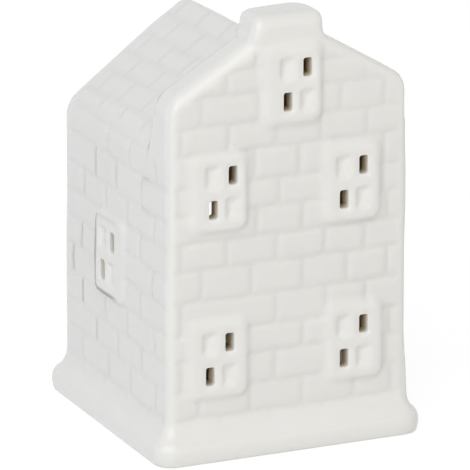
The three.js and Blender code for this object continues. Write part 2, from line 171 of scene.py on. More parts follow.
def zip_loops(inner: Array, inner_turns: Array, outer: Array, outer_turns: Array) -> Array:
    """Triangles between two closed loops that run the same way round, one inside the other.

    Both start at their lowest direction. Each edge of one loop joins the vertex of the other loop
    that lies beside its middle.

    Args:
        inner: Vertex numbers of the inner loop.
        inner_turns: Direction of each inner vertex, in turns.
        outer: Vertex numbers of the outer loop.
        outer_turns: Direction of each outer vertex, in turns.

    Returns:
        One row of three vertex numbers for each triangle, facing away from the viewer for whom
        the loops run anticlockwise.
    """
    loops = []
    for loop, turns in ((inner, inner_turns), (outer, outer_turns)):
        start = np.argmin(turns)
        rolled = np.roll(turns, -start)
        ahead = np.append(rolled[1:], rolled[0] + 1.0)
        loops.append((np.roll(loop, -start), (rolled + ahead) / 2.0))
    (inner, inner_middles), (outer, outer_middles) = loops
    beside_inner = outer[np.searchsorted(outer_middles, inner_middles) % len(outer)]
    beside_outer = inner[np.searchsorted(inner_middles, outer_middles) % len(inner)]
    return np.concatenate([
        np.stack([inner, np.roll(inner, -1), beside_inner], axis=1),
        np.stack([np.roll(outer, -1), outer, beside_outer], axis=1),
    ])


def grid_quads(numbers: Array) -> Array:
    """Quads of a grid of vertex numbers whose rows run up and columns run to the right."""
    corners = [numbers[:-1, :-1], numbers[:-1, 1:], numbers[1:, 1:], numbers[1:, :-1]]
    return np.stack(corners, axis=-1).reshape(-1, 4)


def add_mesh(
    name: str, points: Array, faces: list[list[int]], attributes: dict[str, Array] | None = None
) -> bpy.types.Object:
    """Makes a smooth-shaded object at the origin from points in millimetres.

    Args:
        name: Name of the object.
        points: One row for each vertex, in millimetres.
        faces: Vertex numbers of each face.
        attributes: Values at the vertices, by name.

    Returns:
        The new object.
    """
    mesh = bpy.data.meshes.new(name)
    mesh.from_pydata((points * MM).tolist(), [], faces)
    mesh.polygons.foreach_set("use_smooth", np.ones(len(mesh.polygons), dtype=bool))
    for title, values in (attributes or {}).items():
        layer = mesh.attributes.new(title, "FLOAT", "POINT")
        layer.data.foreach_set("value", values.astype(np.float32))
    mesh.update()
    piece = bpy.data.objects.new(name, mesh)
    bpy.context.scene.collection.objects.link(piece)
    return piece


class Slot(Enum):
    """Material slots of the pieces."""

    PORCELAIN = "porcelain"
    CUP_METAL = "cup_metal"
    CANDLE_WAX = "candle_wax"
    TAB_METAL = "tab_metal"
    WICK_COTTON = "wick_cotton"


@dataclass(frozen=True)
class Piece:
    """A made piece, the body that it moves with, the solid that it stands for, and its slot."""

    made: bpy.types.Object
    body: str
    node: str
    slot: Slot

    def coated(self, finish: "Finish") -> "Piece":
        """Gives the piece its finish and returns it."""
        self.made.data.materials.append(finish.material())
        return self

    def join(self) -> None:
        """Ties the piece to the frame and reports it."""
        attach(self.made, self.body)
        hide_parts(self.node)
        log.info("%s: %d faces, for %s", self.made.name, len(self.made.data.polygons), self.node)


# Form of the house

@dataclass(frozen=True)
class HouseForm:
    """Body, roof, gable and chimney as distances, without brickwork or windows.

    Each edge has a radius of its own. Left and right are seen from the front. The inset says how
    far inside the outer face the form lies.
    """

    half_width: float = 40.0
    half_depth: float = 40.9
    inset: float = 0.0
    has_chimney: bool = True
    front_low_radius: float = 3.1
    front_left_radius: float = 4.3
    front_right_radius: float = 2.1
    front_growth: Ramp = Ramp(50.0, 50.0)
    front_change: Ramp = Ramp(-8.0, 16.0)
    rear_corner_radius: float = 2.6
    rear_edge_radius: float = 3.0
    rear_peak_radius: float = 5.2
    rear_peak_reach: float = 13.0
    rear_change: Ramp = Ramp(0.0, 10.0)
    side_change: Ramp = Ramp(-4.0, 8.0)
    least_radius: float = 1.5
    roof_eave: float = 97.3
    roof_ridge: float = 126.1
    rear_eave_drop: float = 3.2
    rear_ridge_drop: float = 1.6
    roof_eave_round: float = 4.6
    ridge_ease: float = 2.6
    gable_eave: float = 113.5
    gable_apex: float = 137.9
    gable_right_rise: float = 0.3
    gable_blunt: float = 3.0
    gable_eave_round: float = 4.3
    gable_back: float = -28.3
    gable_foot: float = -22.5
    gable_back_round: float = 2.6
    gable_fillet: float = 2.4
    gable_overrun: float = 0.3
    chimney_half_width: float = 12.05
    chimney_middle: float = 1.0
    chimney_back: float = -25.0
    chimney_top: float = 138.0
    chimney_crown: float = 2.0
    chimney_sag: float = 0.0028
    chimney_right_sag: float = 0.004
    chimney_meeting: float = 131.5
    chimney_flare: float = 0.7
    chimney_flare_limit: float = 1.25
    chimney_skew: float = 0.8
    chimney_left_radius: float = 4.4
    chimney_right_radius: float = 6.8
    chimney_left_round: float = 4.2
    chimney_right_round: float = 3.6
    chimney_front_radius: float = 3.8
    chimney_front_change: Ramp = Ramp(-2.0, 3.0)
    chimney_fillet: float = 1.1
    plinth_overhang: float = 4.6
    plinth_tuck: float = 0.7
    plinth_round_height: float = 6.9
    plinth_height: float = 18.0
    plinth_hollow_power: float = 4.0
    plinth_corner_radius: float = 6.1
    foot_edge_radius: float = 0.5
    foot_rim_inset: float = 0.5
    foot_flare: Ramp = Ramp(3.0, 6.0)

    def outreach(self, height: Array) -> Array:
        """How far the wall stands out from the body's sharp box at a height.

        Outside, a parabola for the round moulding, then a falling fourth power for the hollow
        curve. Inside, minus the wall, which eases out to the rim at the foot.

        Args:
            height: Heights above the floor.

        Returns:
            Distances outwards.
        """
        if self.inset:
            return -blended(self.foot_rim_inset, self.inset, self.foot_flare.at(height))
        belly = self.plinth_round_height / 2.0
        moulding = self.plinth_overhang - self.plinth_tuck * ((height - belly) / belly) ** 2
        hollow_height = self.plinth_height - self.plinth_round_height
        rise = (height - self.plinth_round_height) / hollow_height
        shoulder = self.plinth_overhang - self.plinth_tuck
        hollow = shoulder * np.clip(1.0 - rise, 0.0, 1.0) ** self.plinth_hollow_power
        below_round = np.clip(1.0 - height / self.foot_edge_radius, 0.0, 1.0)
        foot_round = self.foot_edge_radius * (1.0 - np.sqrt(1.0 - below_round**2))
        return np.where(height <= self.plinth_round_height, moulding - foot_round, hollow)

    def roof_lines(self, depth: Array) -> tuple[Array, Array]:
        """Heights of the sharp eave and ridge, which settle towards the rear.

        Args:
            depth: Places to the rear.

        Returns:
            Heights of the eave and of the ridge.
        """
        run = (depth - self.gable_foot) / (self.half_depth - self.gable_foot)
        settled = np.clip(run, 0.0, 1.0) ** 2
        ridge = self.roof_ridge - self.rear_ridge_drop * settled
        eave = self.roof_eave - self.rear_eave_drop * settled
        return eave, ridge

    def roof_height(self, across: Array, depth: Array) -> Array:
        """Height of the sharp roof, straight from ridge to eave.

        Args:
            across, depth: Places to the right and to the rear.

        Returns:
            Heights.
        """
        eave, ridge = self.roof_lines(depth)
        slope = (ridge - eave) / self.half_width
        return ridge - slope * np.abs(across) - self.inset * np.hypot(1.0, slope)

    @property
    def gable_slope(self) -> float:
        """Rise of the gable's slopes for each millimetre across."""
        return (self.gable_apex - self.gable_eave) / self.half_width

    def gable_height(self, across: Array) -> Array:
        """Height of the gable's slopes, blunt under the chimney, the right one a little higher.

        Args:
            across: Places to the right.

        Returns:
            Heights.
        """
        slope = self.gable_slope
        rise = self.gable_right_rise * smooth_step(across / self.half_width)
        blunt = np.hypot(across, self.gable_blunt)
        return self.gable_apex - slope * blunt + rise - self.inset * np.hypot(1.0, slope)

    def gable_distance(self, x: Array, y: Array, z: Array) -> Array:
        """Distance to the gable: under its slopes and in front of its leaning back.

        Args:
            x, y, z: Places to the right, to the rear and up.

        Returns:
            Distances, negative inside.
        """
        top = self.gable_height(x)
        under = (z - top) * (1.0 / np.hypot(1.0, self.gable_slope))
        fall = (top - z) / (top - self.roof_height(x, y))
        fall = np.clip(fall, -self.gable_overrun, 1.0 + self.gable_overrun)
        lean = self.gable_foot - self.gable_back
        steep = np.hypot(1.0, lean / (self.gable_eave - self.roof_eave))
        back = self.gable_back + lean * fall - self.inset * steep
        behind = (y - back) / steep
        radius = max(self.gable_back_round - self.inset, self.least_radius)
        return rounded_overlap(under, behind, radius)

    def roof_distance(self, x: Array, y: Array, z: Array) -> Array:
        """Distance to the space under both roof slopes, with the ridge eased.

        Args:
            x, y, z: Places to the right, to the rear and up.

        Returns:
            Distances, negative inside.
        """
        eave, ridge = self.roof_lines(y)
        slope = (ridge - eave) / self.half_width
        steep = 1.0 / np.hypot(1.0, slope)
        left = (z - ridge - slope * x) * steep
        right = (z - ridge + slope * x) * steep
        return eased_overlap(left, right, self.ridge_ease) + self.inset

    def chimney_distance(self, x: Array, y: Array, z: Array) -> Array:
        """Distance to the chimney block, whose left side spreads downwards under a domed top.

        Args:
            x, y, z: Places to the right, to the rear and up.

        Returns:
            Distances, negative inside.
        """
        flare_top = self.chimney_top - self.chimney_left_round
        below = (flare_top - z) / (flare_top - self.chimney_meeting)
        spread = self.chimney_flare * np.clip(below, 0.0, self.chimney_flare_limit) ** 2
        forward = (self.chimney_back - y) / (self.chimney_back + self.half_depth)
        forward = np.clip(forward, 0.0, 1.0)
        left = self.chimney_middle - x - self.chimney_skew * forward - spread
        beside = np.maximum(x - self.chimney_middle, left) - self.chimney_half_width
        behind = y - self.chimney_back
        to_right = smooth_step(0.5 + (x - self.chimney_crown) / self.chimney_half_width)
        corner = blended(self.chimney_left_radius, self.chimney_right_radius, to_right)
        plan = rounded_overlap(beside, behind, corner)
        sag = np.where(x < self.chimney_crown, self.chimney_sag, self.chimney_right_sag)
        over = z - self.chimney_top + sag * (x - self.chimney_crown) ** 2
        edge = blended(self.chimney_left_round, self.chimney_right_round, to_right)
        return rounded_overlap(plan, over, edge)

    def top_distance(self, x: Array, y: Array, z: Array) -> Array:
        """Distance to roof, gable and chimney joined, with fillets between them.

        Args:
            x, y, z: Places to the right, to the rear and up.

        Returns:
            Distances, negative inside.
        """
        roof = self.roof_distance(x, y, z)
        joined = filleted_join(roof, self.gable_distance(x, y, z), self.gable_fillet)
        if not self.has_chimney:
            return joined
        return filleted_join(joined, self.chimney_distance(x, y, z), self.chimney_fillet)

    def front_radius(self, x: Array, z: Array) -> Array:
        """Radius of the front edges: the left one grows upwards and eases to the right one."""
        left = blended(self.front_low_radius, self.front_left_radius, self.front_growth.at(z))
        return blended(left, self.front_right_radius, self.front_change.at(x))

    def edge_round(self, x: Array, y: Array, z: Array) -> Array:
        """Radius between the walls and what is above them: front, rear, or one of the eaves.

        Args:
            x, y, z: Places to the right, to the rear and up.

        Returns:
            Radii.
        """
        on_chimney = self.chimney_front_change.at(z - self.chimney_meeting)
        front = blended(self.front_radius(x, z), self.chimney_front_radius, on_chimney)
        at_peak = smooth_step(1.0 - np.abs(x) / self.rear_peak_reach)
        rear = blended(self.rear_edge_radius, self.rear_peak_radius, at_peak)
        end = blended(front, rear, self.rear_change.at(y))
        past_gable = Ramp(self.gable_back, self.gable_foot - self.gable_back).at(y)
        eave = blended(self.gable_eave_round, self.roof_eave_round, past_gable)
        beside = (np.abs(x) - self.half_width) - (np.abs(y) - self.half_depth)
        radius = blended(end, eave, self.side_change.at(beside)) - self.inset
        return np.maximum(radius, self.least_radius)

    def distance(self, points: Array) -> Array:
        """Distance of each point from the form, negative inside.

        Args:
            points: Points, one row each.

        Returns:
            Distances.
        """
        x, y, z = points.T
        reach = self.outreach(z)
        sharp = np.where(y < 0.0, self.front_radius(x, z), self.rear_corner_radius) - self.inset
        sharp = np.maximum(sharp, self.least_radius)
        on_plinth = np.maximum(reach, 0.0) / self.plinth_overhang
        radius = blended(sharp, self.plinth_corner_radius, on_plinth)
        half_width = self.half_width + reach
        walls = rectangle_distance(x, y, half_width, self.half_depth + reach, radius)
        return rounded_overlap(walls, self.top_distance(x, y, z), self.edge_round(x, y, z))

    def outward(self, points: Array) -> Array:
        """Slope of the distance at each point, by differences over a twentieth of a millimetre.

        Args:
            points: Points, one row each.

        Returns:
            Slope along each axis.
        """
        step = 0.05
        slopes = [
            self.distance(points + shift) - self.distance(points - shift)
            for shift in step * np.eye(3)
        ]
        return np.stack(slopes, axis=1) / (2.0 * step)

    def drawn_on(self, points: Array, passes: int, held_level: Array) -> Array:
        """Moves points onto the form along the slope of its distance.

        Args:
            points: Points near the form.
            passes: How often the move is repeated.
            held_level: True for points that keep their height.

        Returns:
            The moved points.
        """
        least_steepness = 0.2
        longest_step = 2.0
        moved = points.copy()
        for _ in range(passes):
            slope = self.outward(moved)
            slope[held_level, 2] = 0.0
            steepness = np.maximum((slope * slope).sum(axis=1), least_steepness)
            step = np.clip(-self.distance(moved) / steepness, -longest_step, longest_step)
            moved += slope * step[:, None]
        return moved

    def front_line(self) -> Array:
        """Corners of the front's upper outline, as across and height, from left to right.

        Returns:
            Corners, one row each.
        """
        ends = self.half_width - self.inset
        if not self.has_chimney:
            across = np.array([-ends, 0.0, ends])
            return np.stack([across, self.gable_height(across)], axis=1)
        left = self.chimney_middle - self.chimney_half_width - self.chimney_flare
        right = self.chimney_middle + self.chimney_half_width + self.chimney_flare
        left_side = left + self.chimney_flare
        right_side = right - self.chimney_flare
        across = np.array([-ends, left, left_side, left_side, right_side, right_side, right, ends])
        height = self.gable_height(across)
        height[[3, 4]] = self.chimney_top
        height[[2, 5]] = (self.chimney_meeting + self.chimney_top) / 2.0
        return np.stack([across, height], axis=1)

    def side_line(self) -> Array:
        """Corners of a side wall's upper line, as depth and height, from front to rear.

        Returns:
            Corners, one row each.
        """
        back = self.gable_back - self.inset
        foot = self.gable_foot - self.inset
        ends = self.half_depth - self.inset
        roof_corners = 8
        roof = np.linspace(foot, ends, roof_corners)
        edge = np.full_like(roof, self.half_width - self.inset)
        front_height = self.gable_height(edge[:1])[0]
        gable = np.array([[-ends, front_height], [back, front_height]])
        return np.concatenate([gable, np.stack([roof, self.roof_height(edge, roof)], axis=1)])

    def rear_line(self) -> Array:
        """Corners of the rear's upper outline, as across and height, from left to right.

        Returns:
            Corners, one row each.
        """
        ends = self.half_width - self.inset
        across = np.array([-ends, 0.0, ends])
        depth = np.full(3, self.half_depth - self.inset)
        return np.stack([across, self.roof_height(across, depth)], axis=1)


class Side(Enum):
    """The four walls, in the order in which a ring round the house meets them."""

    FRONT = 0
    RIGHT = 1
    REAR = 2
    LEFT = 3

    @property
    def right_way(self) -> Array:
        """Direction to the right along the wall, seen from outside."""
        quarter = self.value * np.pi / 2.0
        return np.array([np.cos(quarter), np.sin(quarter), 0.0]).round(6)

    @property
    def outward_way(self) -> Array:
        """Direction out of the wall."""
        x, y, _ = self.right_way
        return np.array([y, -x, 0.0])

    def flat(self, points: Array) -> Array:
        """Places of points along and up the wall."""
        return np.stack([points @ self.right_way, points[..., 2]], axis=-1)

    def placed(self, flat: Array, depth: float | Array) -> Array:
        """Points from places along and up the wall and depths out of it."""
        upward = np.array([0.0, 0.0, 1.0])
        return flat[:, :1] * self.right_way + flat[:, 1:] * upward + depth * self.outward_way


@dataclass
class HouseSkin:
    """A form covered by a grid: rings round the walls, and a patch across the top.

    It has so many cells across the front and the rear, deep along each side, and up to the top.
    Its lowest rings lie at the foot levels. It is drawn onto the form, then relaxed in passes.
    """

    form: HouseForm
    across: int
    deep: int
    up: int
    foot_levels: tuple[float, ...] = (0.0,)
    relax_passes: int = 12
    first_draws: int = 8
    later_draws: int = 2
    last_draws: int = 3
    points: Array = field(init=False)
    wall_numbers: Array = field(init=False)
    top_numbers: Array = field(init=False)

    def __post_init__(self) -> None:
        """Lays the grid on the sharp form and draws it onto the rounded one."""
        self.front = equal_steps(self.form.front_line(), self.across)
        self.rear = equal_steps(self.form.rear_line(), self.across)
        self.side = equal_steps(self.form.side_line(), self.deep)
        self.around = 2 * (self.across + self.deep)
        self.wall_numbers = np.arange((self.up + 1) * self.around).reshape(self.up + 1, -1)
        walls = self.wall_grid()
        top = self.top_grid()
        inside = np.arange((self.deep - 1) * (self.across - 1)) + self.wall_numbers.size
        self.top_numbers = np.zeros((self.deep + 1, self.across + 1), dtype=int)
        self.top_numbers[1:-1, 1:-1] = inside.reshape(self.deep - 1, -1)
        self.top_numbers[0] = self.wall_columns(Side.FRONT)[-1]
        self.top_numbers[:, -1] = self.wall_columns(Side.RIGHT)[-1]
        self.top_numbers[-1, ::-1] = self.wall_columns(Side.REAR)[-1]
        self.top_numbers[::-1, 0] = self.wall_columns(Side.LEFT)[-1]
        self.points = np.concatenate([walls.reshape(-1, 3), top[1:-1, 1:-1].reshape(-1, 3)])
        self.settle()

    def row_shares(self) -> Array:
        """Shares of the full height for the rings: the foot levels, then equal steps.

        Returns:
            Shares from 0 to 1.
        """
        full = self.form.side_line()[-1, 1]
        foot = np.array(self.foot_levels) / full
        rest = np.linspace(foot[-1], 1.0, self.up - len(foot) + 2)
        return np.concatenate([foot, rest[1:]])

    def wall_grid(self) -> Array:
        """Rings on the sharp walls.

        Each column runs up to a point of the upper outline and bends over with the cube of its
        height.

        Returns:
            Points by ring and place in the ring.
        """
        form = self.form
        shares = self.row_shares()[:, None]
        bend = shares**3
        half_width = form.half_width - form.inset
        half_depth = form.half_depth - form.inset
        even_across = np.linspace(-half_width, half_width, self.across + 1)
        even_deep = np.linspace(-half_depth, half_depth, self.deep + 1)

        def fanned(even: Array, line: Array) -> tuple[Array, Array]:
            """Places along a wall and heights of its grid."""
            return blended(even, line[:, 0], bend), line[:, 1] * shares

        front_x, front_z = fanned(even_across, self.front)
        rear_x, rear_z = fanned(even_across, self.rear)
        side_y, side_z = fanned(even_deep, self.side)
        level = np.ones_like(front_x)
        upright = np.ones_like(side_y)
        return np.concatenate([
            np.stack([front_x, -half_depth * level, front_z], axis=2)[:, :-1],
            np.stack([half_width * upright, side_y, side_z], axis=2)[:, :-1],
            np.stack([rear_x, half_depth * level, rear_z], axis=2)[:, :0:-1],
            np.stack([-half_width * upright, side_y, side_z], axis=2)[:, :0:-1],
        ], axis=1)

    def top_grid(self) -> Array:
        """Patch on the sharp top.

        The front outline is carried back over the gable, and changes to the roof's outline down
        the gable's back, where the height changes in proportion.

        Returns:
            Points by depth and place across.
        """
        form = self.form
        depth = self.side[:, :1]
        back = form.gable_back - form.inset
        foot = form.gable_foot - form.inset
        down = np.clip((depth - back) / (foot - back), 0.0, 1.0)
        across = blended(self.front[:, 0], self.rear[:, 0], smooth_step(down))
        deep = np.broadcast_to(depth, across.shape)
        height = blended(self.front[:, 1], form.roof_height(across, deep), down)
        return np.stack([across, deep, height], axis=2)

    def quads(self) -> tuple[Array, Array]:
        """Quads of the walls, by ring and place, and quads of the top.

        Returns:
            Vertex numbers of each quad of the walls and of the top.
        """
        closed = np.concatenate([self.wall_numbers, self.wall_numbers[:, :1]], axis=1)
        walls = grid_quads(closed).reshape(self.up, self.around, 4)
        return walls, grid_quads(self.top_numbers)

    def settle(self) -> None:
        """Draws the grid onto the form and evens it, each point towards its neighbours' mean."""
        held = np.zeros(len(self.points), dtype=bool)
        held[self.wall_numbers[: len(self.foot_levels)].ravel()] = True
        walls, top = self.quads()
        faces = np.concatenate([walls.reshape(-1, 4), top])
        sides = np.concatenate([faces[:, [corner, (corner + 1) % 4]] for corner in range(4)])
        counts = np.bincount(sides[:, 0], minlength=len(self.points))[:, None]
        self.points = self.form.drawn_on(self.points, self.first_draws, held)
        for _ in range(self.relax_passes):
            total = np.stack([
                np.bincount(sides[:, 0], self.points[sides[:, 1], axis], len(self.points))
                for axis in range(3)
            ], axis=1)
            mean = total / counts
            mean[held] = self.points[held]
            halfway = 0.5 * (self.points + mean)
            self.points = self.form.drawn_on(halfway, self.later_draws, held)
        self.points = self.form.drawn_on(self.points, self.last_draws, held)

    def wall_columns(self, side: Side) -> Array:
        """Vertex numbers of one wall, by row and by column from left to right.

        Args:
            side: The wall.

        Returns:
            Vertex numbers by row and column.
        """
        count = self.across if side in (Side.FRONT, Side.REAR) else self.deep
        columns = (self.wall_start(side) + np.arange(count + 1)) % self.around
        return self.wall_numbers[:, columns]

    def wall_start(self, side: Side) -> int:
        """Place in the ring of a wall's left edge."""
        lengths = [self.across, self.deep, self.across, self.deep]
        return sum(lengths[: side.value])


# Brickwork

# Height of each wave, its turns in radians for each millimetre along and up, and its start.
WAVES_ALONG = ((0.1, 0.09, 0.8, 0.0), (0.05, 0.0, 2.1, 0.0))
WAVES_UP = ((0.16, 0.31, 0.0, 0.4), (0.08, 1.1, 1.0, 0.0))


@dataclass(frozen=True)
class Brickwork:
    """Brick courses on one face, as grooves where the joints are.

    Attributes:
        beds: Places of the bed joints up the face.
        heads: Places of the upright joints in each course, from the lowest.
        pillow_reach: How far in from a joint the brick's face still falls away.
        pillow_share: Share of the depth that falls away over that reach.
        shaded_joints: Course, place and darkness of the narrow upright joints that get painted
            shade.
        crease_end: How far from a bed joint such a line has its full darkness.
        stir: What a brick's place and course turn the sine that gives its height, in radians.
    """

    beds: tuple[float, ...]
    heads: Courses
    bed_depth: float = 0.5
    head_depth: float = 0.55
    joint_half_width: float = 1.3
    pillow_reach: float = 3.4
    pillow_share: float = 0.22
    unevenness: float = 0.1
    shaded_joints: tuple[tuple[int, float, float], ...] = ()
    crease_half_width: float = 0.8
    crease_end: float = 1.2
    beyond: float = 60.0
    stir: Pair = (12.9898, 7.233)

    def joint(self, gap: Array) -> Array:
        """Depth of a joint, from 1 in its middle to 0 on the brick, at a distance from it.

        Args:
            gap: Distances from the middle of the joint.

        Returns:
            Depths.
        """
        steep = 1.0 - smooth_step(gap / self.joint_half_width)
        gentle = 1.0 - smooth_step(gap / self.pillow_reach)
        return (1.0 - self.pillow_share) * steep + self.pillow_share * gentle

    def relief(self, across: Array, up: Array) -> tuple[Array, Array, Array]:
        """Height of the face over the brickwork.

        The joints waver by two slow waves. Where joints cross, the depths add up to the deeper
        one and a little more, which rounds the corners of the bricks.

        Args:
            across: Places along the courses.
            up: Places up the courses.

        Returns:
            Height of the face, how deep in a joint each place is, from 0 to 1, and how dark the
            painted shade there is.
        """
        wavy_across = across
        for rise, along, upward, start in WAVES_ALONG:
            wavy_across = wavy_across + rise * np.sin(along * across + upward * up + start)
        wavy_up = up
        for rise, along, upward, start in WAVES_UP:
            wavy_up = wavy_up + rise * np.sin(along * across + upward * up + start)
        beds = np.array([-np.inf, *self.beds, np.inf])
        course = np.clip(np.searchsorted(beds, wavy_up) - 1, 0, len(self.beds))
        bed_gap = np.minimum(wavy_up - beds[course], beds[course + 1] - wavy_up)
        head_gap = np.zeros(across.shape)
        brick = np.zeros(across.shape)
        for number, joints in enumerate(self.heads):
            here = course == number
            ends = np.array([-self.beyond, *joints, self.beyond])
            place = np.clip(np.searchsorted(ends, wavy_across[here]), 1, len(ends) - 1)
            left = ends[place - 1]
            right = ends[place]
            head_gap[here] = np.minimum(wavy_across[here] - left, right - wavy_across[here])
            brick[here] = np.sin(self.stir[0] * (left + right) + self.stir[1] * number)
        bed = self.bed_depth * self.joint(bed_gap)
        head = self.head_depth * self.joint(head_gap)
        deepest = max(self.bed_depth, self.head_depth)
        groove = 1.0 - (1.0 - bed / deepest) * (1.0 - head / deepest)
        height = self.unevenness * brick * (1.0 - groove) - deepest * groove
        # Painted shade: dark lines in the narrow upright joints, standing in for their shadow.
        painted_shade = np.zeros(across.shape)
        for number, place, darkness in self.shaded_joints:
            beside = 1.0 - smooth_step(np.abs(wavy_across - place) / self.crease_half_width)
            within = (course == number) * smooth_step(bed_gap / self.crease_end)
            painted_shade = np.maximum(painted_shade, darkness * beside * within)
        return height, groove, painted_shade


def running_bond(
    beds: tuple[float, ...], half_length: float, brick: float, seed: int
) -> Courses:
    """Upright joints for courses laid with each joint near the middle of the bricks below.

    Args:
        beds: Bed joints.
        half_length: Half of the face's length.
        brick: Length of a brick with its joint.
        seed: Start of the small shifts.

    Returns:
        Joints for each course, one more course than there are beds.
    """
    shifts = np.random.default_rng(seed)
    most_shift = 1.6
    end_clear = 3.0
    least_brick = 3.5
    courses = []
    for course in range(len(beds) + 1):
        start = -half_length + brick * (0.5 if course % 2 else 1.0) - end_clear
        places = np.arange(start, half_length - end_clear, brick)
        places = places + shifts.uniform(-most_shift, most_shift, len(places))
        courses.append(tuple(places[places > -half_length + least_brick]))
    return tuple(courses)


# Heights of the bed joints, and places of the upright joints in each course, lowest first.
FRONT_BEDS = (
    13.4, 22.6, 32.2, 40.8, 50.8, 60.8, 69.5, 78.5, 87.2, 97.2, 105.8, 114.9, 122.5, 131.0,
)
FRONT_HEADS = (
    (-22.7, -6.3, 11.0),
    (-29.5, -12.6, 5.1, 22.4, 35.1),
    (-35.4, -4.0, 12.6, 33.6),
    (5.3, 34.7),
    (-35.4, -3.8, 13.1, 26.4),
    (-28.6, -12.0, 5.3, 19.9, 33.6),
    (-35.4, -20.2, -3.6, 12.5, 26.0),
    (-10.2, 5.1, 33.6),
    (-36.3, -2.7, 13.2, 32.1),
    (-10.9, 4.0, 32.3),
    (-35.2, -19.6, -3.8, 11.1, 26.6),
    (-28.5, -9.4, 18.0, 32.4),
    (-20.2, 26.1),
    (-10.6, 15.9),
    (),
)
SIDE_BEDS = (13.3, 22.8, 31.5, 40.7, 49.7, 58.6, 67.4, 76.0, 86.1, 95.2)
LEFT_HEADS = (
    (-26.0, -9.0, 8.0, 25.0),
    (-27.2, -6.4, 11.0, 30.2),
    (-15.6, 1.2, 19.5),
    (-26.6, -8.7, 8.5, 29.6),
    (-34.0, 18.5),
    (-27.4, 6.7, 27.8),
    (17.8,),
    (-26.1, -9.0, 7.9, 28.4),
    (-17.0, -0.8, 18.4),
    (-7.6, 9.3, 29.6),
    (),
)
# Painted shade in narrow upright joints of the left wall: course, place and darkness.
LEFT_SHADED_JOINTS = (
    (2, -15.6, 0.25), (3, -26.6, 0.5), (4, -34.0, 0.6), (5, -27.4, 0.35),
    (7, -26.1, 0.2), (8, -17.0, 0.4), (8, -0.8, 0.15),
)
ROOF_BEDS = (6.5, 13.5, 20.0, 26.5, 33.5, 40.0)
LEFT_ROOF_HEADS = (
    (-33.4, -16.5, 0.8),
    (-25.2, -7.3, 10.5),
    (-32.0, -14.8, 1.7),
    (-24.3, -6.0, 11.5),
    (-30.4, -13.6, 3.0),
    (-20.4, -4.2, 12.2),
    (),
)


